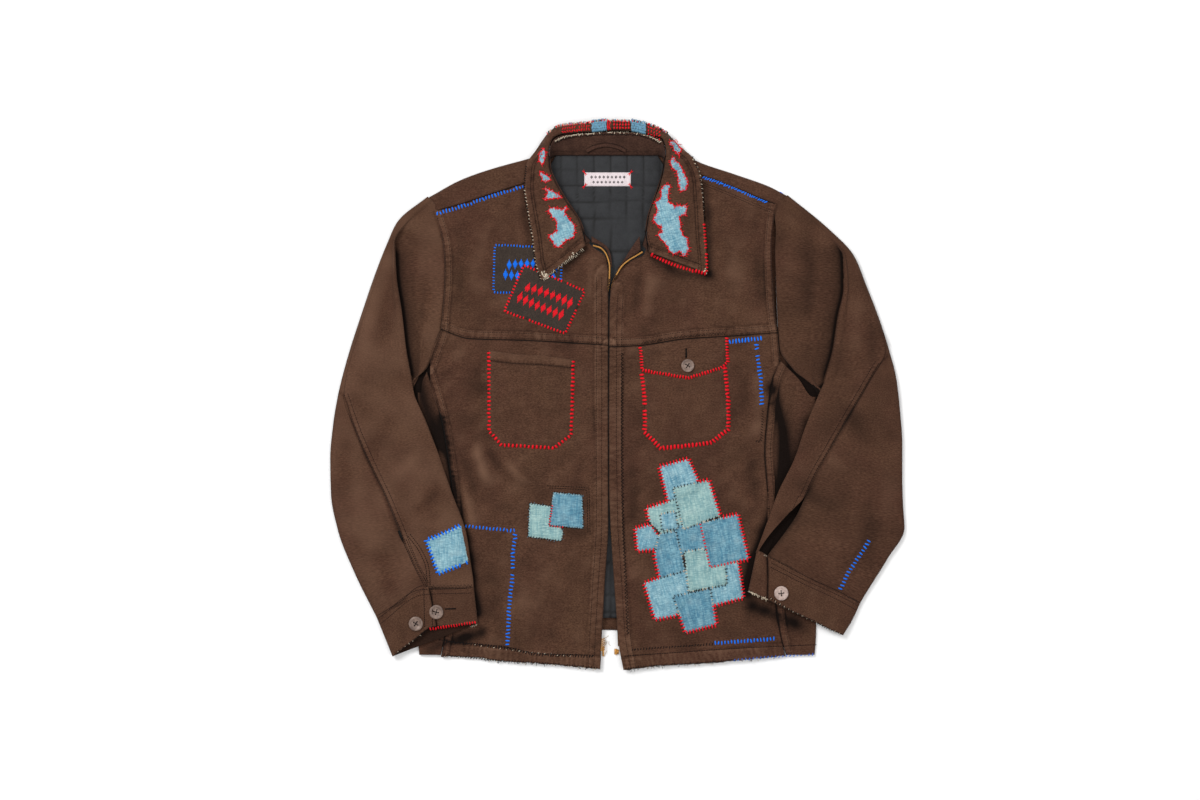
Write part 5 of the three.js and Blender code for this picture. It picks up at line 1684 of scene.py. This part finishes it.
def crossing(a, b, points):
    """The share of the way from a to b at which a line crosses, or None."""
    for (px, py), (qx, qy) in zip(points, points[1:]):
        ux, uy, vx, vy = b[0] - a[0], b[1] - a[1], qx - px, qy - py
        turn = ux * vy - uy * vx
        if abs(turn) > 1e-9:
            t = ((px - a[0]) * vy - (py - a[1]) * vx) / turn
            s = ((px - a[0]) * uy - (py - a[1]) * ux) / turn
            if 0 <= t <= 1 and 0 <= s <= 1:
                return t
    return None


SLEEVE_CREASES = {
    "right": [
        ([[-330, 150], [-345, 90], [-350, 30]], 1.4, 12),
        ([[-300, 190], [-318, 120], [-322, 50]], -1.2, 10),
        ([[-262, 180], [-268, 120], [-272, 80]], -1.4, 8),
        ([[-300, -20], [-330, -60], [-350, -110]], -1.4, 12),
        ([[-262, -70], [-290, -100], [-320, -120]], 1.3, 11),
        ([[-240, -120], [-262, -150], [-290, -165]], -1.6, 8),
        ([[-225, -160], [-250, -176], [-276, -180]], 1.0, 7),
        ([[-370, -100], [-350, -170], [-330, -230]], 1.2, 16),
        ([[-380, -60], [-372, -120], [-360, -180]], -1.0, 12),
        ([[-330, -200], [-320, -240], [-300, -280]], -1.2, 10),
    ],
    "left": [
        ([[262, 230], [270, 160], [262, 90]], -1.2, 14),
        ([[300, 190], [294, 130], [276, 70]], 1.3, 10),
        ([[336, 150], [330, 90], [316, 30]], 1.3, 12),
        ([[350, 120], [352, 60], [346, 10]], -1.2, 9),
        ([[300, 0], [330, -40], [352, -90]], -1.3, 12),
        ([[262, -60], [290, -84], [330, -110]], 1.2, 11),
        ([[240, -110], [270, -140], [310, -160]], -1.4, 9),
        ([[372, -60], [366, -120], [372, -170]], 1.2, 14),
        ([[340, -130], [346, -180], [330, -240]], -1.3, 14),
        ([[300, -180], [300, -220], [280, -250]], 1.0, 12),
    ],
}


def rest_height(sign, x, y):
    """What a sleeve or cuff lies on: the floor, rising over the side of the body."""
    over = 1 - smooth((sign * x - (HALF_CHEST + 12)) / 50)
    below = smooth((24 - y) / 26)
    return (body_top(x, y) + 1) * over * below


def lift(t):
    return np.sqrt(np.maximum(0, 1 - np.abs(2 * t - 1) ** 6))


def sleeve_nets(side):
    """Control points of the top piece (seam to armhole, with the overhanging fold) and of the
    under piece (inner side, round the outer fold, up to the elbow seam)."""
    sign, rows = SLEEVES[side]["sign"], SLEEVES[side]["rows"]
    top, under = [], []
    for row in rows:
        outer, inner = np.array(row["outer"], float), np.array(row["inner"], float)
        width = np.linalg.norm(inner - outer)
        toward = (inner - outer) / width
        inset = min(0.12, 2.5 / width)
        share = min(0.3, 5.5 / width)
        elbow = crossing(outer, inner, ELBOW[side])
        share = max(share, elbow or 0)
        split = share
        if side == "left" and elbow:
            split = max(share, crossing(outer, inner, SLIT) or share)
        deep, bow = row.get("deep", 1), row.get("bow", 0)
        high = SLEEVE_HIGH - row.get("sunk", 0)

        def at(point, z):
            x, y = point
            return [x, y, float(rest_height(sign, x, y)) + z]

        def over(t, extra=0.0):
            x, y = mix(outer, inner, t)
            y += bow * bowed(t)
            return at([x, y], SLEEVE_EDGE + (high - SLEEVE_EDGE) * lift(t) + extra)

        inset = min(inset, (1 - split) * 0.3)
        top_row = [over(split + (1 - inset - split) * k, 0.4 * k) for k in (0.004, 0.2, 0.4, 0.6, 0.8)]
        crest = 4.0 * deep if "hole" in row else 0.5
        top_row.append(over(mix(split, 1 - inset, 0.94), crest))
        if "hole" in row:
            hole = np.array(row["hole"], float)
            foot = float(body_top(*hole))
            across = hole - inner
            reach = np.linalg.norm(across)
            along = across / max(reach, 1e-6)
            flat = [
                (0, 10.4), (0.05, 10.2), (0.12, 10), (0.3, 9.8), (0.6, foot + 0.9), (1, foot - 0.1),
                (1 + 4.5 / reach, foot - 2.2),
            ]
            folded = [
                (0, 10.5), (-4 / reach, 6.4), (-2 / reach, 3.2), (min(0.3, 12 / reach), 3.2),
                (0.62, foot - 0.3), (1, foot - 0.1), (1 + 4.5 / reach, foot - 2.2),
            ]
            for (a, z_flat), (b, z_folded) in zip(flat, folded):
                t, z = mix(a, b, deep), mix(z_flat, z_folded, deep)
                top_row.append([*(inner + along * reach * t), z])
        else:
            for back, z in ((0, 6.0), (1.2, 3.4), (5, 1.6), (8, 1.0), (11, 0.8), (14, 0.7), (17, 0.6)):
                top_row.append(at(inner - toward * back, z))
        top.append(top_row)
        end = np.array(row.get("hole", row["inner"]), float)
        flat_end = 0.98
        under_row = [at(mix(outer, end, t), 0.2) for t in (flat_end, 0.7, 0.5, 0.3, inset)]
        under_row += [at(outer + toward * 0.5, 1.6), at(outer, 3.6), at(outer + toward * 0.5, 5.8)]
        under_row += [over(inset), over(mix(inset, share, 0.5)), over(share)]
        under.append(under_row)
    return top, under


def bowed(t, at=0.46):
    """How the upper layer of the right cuff bends up: most at one place across it."""
    t = np.asarray(t, float)
    share = np.where(t < at, t / at, (1 - t) / (1 - at))
    return smooth(share) * 0.35 + share * 0.65


def sleeve(side):
    """The sleeve's upper layer, and the one beneath that goes round its folds."""
    sign = SLEEVES[side]["sign"]
    top_net, under_net = sleeve_nets(side)
    fold_line = line([row["inner"] for row in SLEEVES[side]["rows"] if "hole" in row][1:], 40)
    for kind, net, across in (("top", top_net, 88), ("under", under_net, 50)):
        shade = 0
        grid = refine(net, np.linspace(0, 1, 165), np.linspace(0, 1, across + 1))
        x, y, z = grid[..., 0], grid[..., 1], grid[..., 2]
        normal = grid_normals(grid)
        facing = np.abs(normal[..., 2:])
        upper = smooth((z - rest_height(sign, x, y) - 5) / 3)
        rise, wear_and_shade = creased(x, y, SLEEVE_CREASES[side])
        rise = 1.4 * rise + 1.2 * wobble(x, y, 70, 71) + 0.6 * wobble(x, y, 28, 72)
        # Painted light: the right sleeve is made paler overall and the left one a little darker, as if lit
        # from one side.
        painted_side_light = 0.2 if sign < 0 else -0.05
        wear_and_shade = 1.3 * wear_and_shade + 0.12 * wobble(x, y, 60, 73) + 0.05 * wobble(x, y, 26, 74) + painted_side_light
        away, place, turn = nearest(x, y, line(ELBOW[side], 60))
        banded = (turn * sign < 0) * smooth(away / 1.6) * (1 - smooth((away - 8.5) / 1.6))
        pucker = np.sin(2 * math.pi * place / 6.2) * (0.6 + 0.4 * wobble(x, y, 20, 75))
        edge = bell(away, 1.3)
        rise += 0.5 * banded * (kind == "top") + 0.2 * pucker * banded - 0.5 * edge
        # Painted shade in the elbow seam's groove, and painted light on the puckers' crests; the band is worn
        # a little paler.
        wear_and_shade = wear_and_shade - 0.4 * edge + (0.16 * pucker + 0.04) * banded
        if kind == "top":
            away = nearest(x, y, line(ARMHOLE[side], 40))[0]
            groove = bell(away, 1.4)
            # Painted shade in the armhole seam's groove.
            rise, wear_and_shade = rise - 0.3 * groove, wear_and_shade - 0.35 * groove
            away, _, turn = nearest(x, y, fold_line)
            # Painted shadow beside the overhanging fold, fading away from it.
            fade = 0.35 * bell(away, 4) + 0.75 * np.exp(-away / 13)
            shade = fade * (turn * sign < 0) * smooth((y - 4) / 30) * smooth((215 - y) / 25)
        grid[..., 2] += rise * upper * facing[..., 0]
        ground.lay_grid(grid)
        # Painted shade where the cloth turns down low under the sleeve's folds.
        inside = smooth((3 - z + rest_height(sign, x, y)) / 1.5)
        up = (normal[..., 2][z > 8].mean() > 0) if kind == "top" else (normal[..., 2][z < 1.2].mean() < 0)
        name = f"sleeve_{kind}_{side}"
        wear_and_shade = wear_and_shade * upper - inside - shade
        piece = shell(name + "_cloth", grid, BROWN, 1.3, wear_and_shade, up=bool(up), on_grid=True)
        cloth(piece, [name])


# ------------------------------------------------------------------ cuffs

# Each row across a cuff from one fold to the other, the shares at which the upper layer ends and
# the under one tucks away, and how far the upper layer bows up.
CUFFS = {
    "right": {"sign": -1, "rows": [
        ([-331, -305.5], [-197, -259.5], 0.54, 0.46, 22), ([-320, -332], [-194, -286.5], 0.53, 0.45, 21),
        ([-309, -359], [-191, -313], 0.52, 0.44, 20),
    ]},
    "left": {"sign": 1, "rows": [
        ([192, -211], [335, -286], 0.1, 0.2, 0), ([186, -240], [324, -309], 0.155, 0.25, 0),
        ([180, -268], [311, -330], 0.205, 0.3, 0),
    ]},
}


def cuff(side):
    """A cuff as one band of cloth, lapped over itself."""
    sign = CUFFS[side]["sign"]
    thick, high = CUFF_THICK, CUFF_HIGH
    net = []
    for a, b, lap, tuck, bow in CUFFS[side]["rows"]:
        a, b = np.array(a, float), np.array(b, float)

        def at(t, rise, upper=1.0):
            x, y = mix(a, b, t)
            y += bow * upper * float(bowed(t))
            return [x, y, float(rest_height(sign, x, y)) + rise]

        if side == "left":
            over = [
                (lap, high + thick + 0.7), (mix(lap, 1, 0.08), high + thick + 0.9),
                (mix(tuck, 1, 0.5), high + 1.2), (0.95, high - 0.2),
            ]
            beneath = [(0.05, high - 0.4), (mix(0.03, tuck, 0.5), high), (tuck, high)]
            row = [at(t, z) for t, z in over]
            row += [at(t, z, 0) for t, z in ((0.985, high * 0.8), (1, high * 0.5), (0.985, high * 0.2))]
            row += [at(t, 0.2, 0) for t in (0.95, 0.66, 0.33, 0.05)]
            row += [at(t, z, 0) for t, z in ((0.015, high * 0.2), (0, high * 0.5), (0.015, high * 0.8))]
            row += [at(t, z) for t, z in beneath]
        else:
            row = [
                at(lap, high + thick + 0.7), at(lap * 0.9, high + thick + 0.9),
                at(lap * 0.5, high + 1.4), at(0.05, high),
            ]
            row += [at(t, z, 0) for t, z in ((0.015, high * 0.8), (0, high * 0.5), (0.015, high * 0.2))]
            row += [at(t, 0.2, 0) for t in (0.05, 0.33, 0.66, 0.95)]
            row += [at(t, z, 0) for t, z in ((0.985, high * 0.2), (1, high * 0.5), (0.985, high * 0.8))]
            row += [at(0.95, high - 0.2), at(mix(tuck, 0.95, 0.5), high + 0.2), at(tuck, high)]
        net.append(row)
    grid = refine(net, spacing(CUFF_DEEP, 2.0, 1.1, 10), np.linspace(0, 1, 165))
    x, y, z = grid[..., 0], grid[..., 1], grid[..., 2]
    upper = smooth((z - rest_height(sign, x, y) - 4) / 3)
    down = np.linspace(0, 1, grid.shape[0])[:, None] * np.ones(x.shape)
    edge = np.minimum(down, 1 - down) * CUFF_DEEP
    ripple = np.sin(2 * math.pi * (np.hypot(x - x[:, :1], y - y[:, :1]) / 6.4))
    near = bell(edge, 5)
    grid[..., 2] += upper * (0.35 * wobble(x, y, 26, 81) + 0.16 * ripple * near - 0.8 * bell(edge, 1.2))
    # Painted shade where the cloth turns down low under the cuff's folds.
    inside = smooth((3 - z + rest_height(sign, x, y)) / 1.5)
    # Painted light on the ripples' crests near the edges and darker between them, with painted shade along
    # both edges where they dip.
    ripple_light_and_edge_shade = 0.2 * ripple * near - 0.7 * bell(edge, 1.3) + 0.1 * wobble(x, y, 30, 82)
    wear_and_shade = -0.6 * inside + upper * ripple_light_and_edge_shade
    # Painted shadow along the lap's edge, darkest on the layer beneath it.
    lap_line = [
        mix(np.array(a), np.array(b), t) + [0, bow * float(bowed(t))]
        for a, b, t, _, bow in CUFFS[side]["rows"]
    ]
    away, _, _ = nearest(x, y, line(lap_line, 20))
    lowest = np.arange(grid.shape[1]) > grid.shape[1] * 0.75
    wear_and_shade = wear_and_shade - 0.95 * bell(away, 1.8) * lowest - 0.5 * bell(away, 0.9) * ~lowest * upper
    ground.lay_grid(grid)
    normal = grid_normals(grid)
    up = bool(normal[..., 2][z - rest_height(sign, x, y) > 6].mean() > 0)
    piece = shell(f"cuff_{side}_cloth", grid, BROWN, 1.8, wear_and_shade, up=up, on_grid=True)
    cloth(piece, [f"cuff_{side}"])


for side in ("right", "left"):
    sleeve(side)
    cuff(side)

SLEEVE_PATCH = [[-262, -199], [-214, -178], [-204, -228], [-245, -245]]
laid("sleeve_patch_right_cloth", "sleeve_patch_right", "denim_mid", SLEEVE_PATCH, 0.25, 0.8,
     DENIM_MID, "sleeve_top_right_cloth", fray=0.3, detail=frayed)

along(ELBOW["right"][1:8], (1.8, 7.2), tone, 3.1, 0.9)
along(ELBOW["left"][1:7], (-1.8, -7.2), tone, 3.1, 0.9)
dark.tube(
    [[x, y, ground.height(x, y) + 0.1] for x, y in ([-302, -177], [-299, -186], [-296, -194], [-293, -202])],
    [0.6, 2.0, 2.0, 0.6], 8, 0.4)
SLIT_UNDER = ELBOW["left"][6:11]
along(SLIT_UNDER, (-2.0, -9.0), dark, 3.0, 0.6)
along([[-294, -199], [-279, -233], [-265, -260]], (0, 5), dark, 3.0, 1.0)
along([[-284, -190], [-268, -212], [-258, -237], [-256, -260]], (0, -4), dark, 3.0, 1.0)
sewn_bars(blue, [[347.5, -198], [336.5, -215], [325.5, -231.5], [314.5, -249.5], [306.5, -268]],
          5.0, 6.2, 2.5, jitter=0.2)
for k in range(26):
    spot = line(SLIT_UNDER, np.array([rng.uniform(0.3, 0.95)]))[0] + [-rng.uniform(2, 9), rng.normal(0, 2)]
    cream.hair(spot, rng.uniform(0, 6.3), rng.uniform(3, 6), 0.3, 1.6, 0.6)
for points in (
    [[-330, -308], [-266, -266], [-255, -266], [-199, -264]], [[-327, -315], [-264, -273], [-199, -271]],
    [[211, -229], [257, -253], [305, -275], [332, -289]],
    [[210, -235], [257, -259], [304, -281], [329, -295]],
):
    along(points, (0,), tone, 3.0, 0.9)

# Sleeve patch
sewn_bars(blue, [*SLEEVE_PATCH[1:2], *SLEEVE_PATCH[:1], SLEEVE_PATCH[3], SLEEVE_PATCH[2]], 5.0, 6.2, 2.7,
          curved=False, high=0.8)

# The right cuff's lap strip and its buttonhole
for x in (-265, -254):
    along([[x, -264], [x + 1, -318]], (0,), dark, 3.0, 1.0)
dark.tube([[-236, -293, ground.height(-236, -293) + 0.1], [-221, -292.5, ground.height(-221, -292) + 0.1]],
          [0.9, 0.9], 6, 0.5)

# Cuffs
sewn_bars(red, [[-258, -321], [-226, -316], [-193, -311.5]], 3.6, 4.5, 2.2, high=0.7)
sewn_bars(dark, [[-306, -355], [-290, -344], [-274, -332], [-262, -323]], 3.4, 3.4, 1.1, jitter=0.5)
sewn_bars(cream, [[-304, -354], [-276, -334], [-262, -324]], 6.4, 2.6, 0.8, jitter=0.7)
for _ in range(60):
    x = rng.uniform(-258, -192)
    cream.hair((x, np.interp(x, [-258, -192], [-323, -314])), rng.uniform(-2.6, -0.5), rng.uniform(2, 5),
               0.5, 1.4, 0.8)
zigzag(dark, [[-255, -262], [-226, -261.5], [-198, -261]], 2.4, 4.0, 0.8)
along([[-330, -303], [-298, -283], [-266, -261], [-253, -262]], (0,), dark, 2.4, 0.9)
along([[207, -221], [216, -225.5], [257, -247], [305, -269.5], [333, -284]], (0,), dark, 2.4, 0.9)
CUFF_LEFT_EDGE = [[208, -277], [225, -287], [249, -300], [275, -312], [291, -321], [309, -328]]
sewn_bars(dark, CUFF_LEFT_EDGE, 3.4, 3.2, 1.2, jitter=0.4)
sewn_bars(cream, CUFF_LEFT_EDGE, 7.0, 2.6, 0.8, jitter=0.6)

for _ in range(40):
    x = rng.uniform(181, 206)
    cream.hair((x, np.interp(x, [181, 206], [-268, -279])), rng.uniform(-2.6, -0.5), rng.uniform(2, 5),
               0.6, 1.4, 0.8)


# ------------------------------------------------------------------ buttons


def button(name, x, y, radius, material, tilt=0.2):
    """A four-hole button on crossed threads."""
    base = ground.height(x, y) + 0.5
    thick = 3.0
    profile = [
        (0, 0), (0.8, 0), (0.96, 0.25), (1, 0.45), (1, 0.7), (0.95, 0.93), (0.86, 1), (0.76, 0.98),
        (0.68, 0.86), (0.6, 0.74), (0.3, 0.7), (0, 0.7),
    ]
    sides = 40
    vertices, faces = [], []
    for r, h in profile:
        for k in range(sides):
            turn = 2 * math.pi * k / sides
            out = r * radius
            vertices.append([x + out * math.cos(turn), y + out * math.sin(turn), base + h * thick])
    for i in range(len(profile) - 1):
        for k in range(sides):
            a, b = i * sides + k, i * sides + (k + 1) % sides
            faces.append((a, b, b + sides, a + sides))
    obj = new_object(name + "_disc", vertices, faces, material)
    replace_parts(obj, name)
    spot = radius * 0.24
    places = [(sx * spot, sy * spot) for sx in (-1, 1) for sy in (-1, 1)]
    cos, sin = math.cos(tilt), math.sin(tilt)
    turned = [(a * cos - b * sin, a * sin + b * cos) for a, b in places]
    top = base + 0.7 * thick
    for a, b in turned:
        dark.tube([[x + a, y + b, top - 0.2], [x + a, y + b, top + 0.08]], [0.95, 0.95], 12)
    for (a, b), (c, d) in ((turned[0], turned[3]), (turned[1], turned[2])):
        middle = [x + (a + c) / 2, y + (b + d) / 2, top + 0.7]
        dark.tube([[x + a, y + b, top], middle, [x + c, y + d, top]], [0.4, 0.5, 0.4], 6)


button("flap_button_left", 97, 41, 9, HORN)
button("cuff_button_right_outer", -276, -313, 9.8, HORN)
button("cuff_button_right_inner", -248, -297, 9.8, HORN, 0.5)
button("cuff_button_left", 225, -271, 9.8, HORN_PALE, 0.9)


# Loose ends at the bottom of the zip
for k in range(7):
    y = -334 - 2.6 * k
    gold.tube([[-17, y, 5], [-19.5, y - 1.6, 7.4], [-22.5, y - 0.6, 6.4], [-21, y + 1.2, 4.4]],
              [0.7, 0.8, 0.8, 0.6], 6)
for _ in range(6):
    cream.hair((-14 + rng.normal(0, 2.4), -340 + rng.normal(0, 8)), rng.uniform(-2.2, -0.9),
               rng.uniform(5, 12), 0.6, 1.0, 1.2)

red.make("red_stitching", RED)
blue.make("blue_stitching", BLUE)
dark.make("dark_stitching", DARK)
cream.make("cream_threads", CREAM)
tone.make("machine_stitching", BROWN_THREAD)
gold.make("zip_loops", GOLD)
pale_blue.make("pale_blue_threads", PALE_BLUE)


# ------------------------------------------------------------------ floor, light and camera


def stage():
    """The white floor, the world's light, three lamps and the camera."""
    floor_mesh = bpy.data.meshes.new("floor")
    reach, level = 6.0, -0.0004
    corners = [(x, y, level) for x, y in ((-reach, -reach), (reach, -reach), (reach, reach), (-reach, reach))]
    floor_mesh.from_pydata(corners, [], [(0, 1, 2, 3)])
    floor = bpy.data.objects.new("floor", floor_mesh)
    bpy.context.scene.collection.objects.link(floor)
    look = Look("floor_paper")
    place = look.node("ShaderNodeTexCoord", {}).outputs["Object"]
    tone_noise = look.noise(place, 3.0)
    floor_mesh.materials.append(look.finish(
        Base_Color=look.mix(tone_noise, srgb(250, 250, 250), srgb(254, 254, 254)), Roughness=0.95,
        Specular_IOR_Level=0.1,
    ))

    world = bpy.data.worlds.new("studio")
    world.use_nodes = True
    background = world.node_tree.nodes["Background"]
    background.inputs["Color"].default_value = (1, 1, 1, 1)
    background.inputs["Strength"].default_value = 0.42
    bpy.context.scene.world = world

    for name, place, size, power in (
        ("key", (-1.6, 1.5, 2.6), 1.2, 68),
        ("fill", (1.7, -0.6, 2.6), 2.4, 22),
        ("top", (0.0, 0.2, 4.4), 3.0, 38),
    ):
        lamp = bpy.data.lights.new(name, "AREA")
        lamp.size = size
        lamp.energy = power
        lamp.color = (1, 1, 1)
        obj = bpy.data.objects.new(name, lamp)
        obj.location = place
        obj.rotation_euler = (-Vector(place)).to_track_quat("-Z", "Y").to_euler()
        bpy.context.scene.collection.objects.link(obj)

    camera = bpy.data.cameras.new("camera")
    camera.lens = 85
    camera.sensor_width = 36
    camera.clip_end = 50
    eye = bpy.data.objects.new("camera", camera)
    eye.location = (-0.0234, -0.0062, 3.905)
    bpy.context.scene.collection.objects.link(eye)
    bpy.context.scene.camera = eye
    bpy.context.scene.view_settings.view_transform = "Standard"


stage()
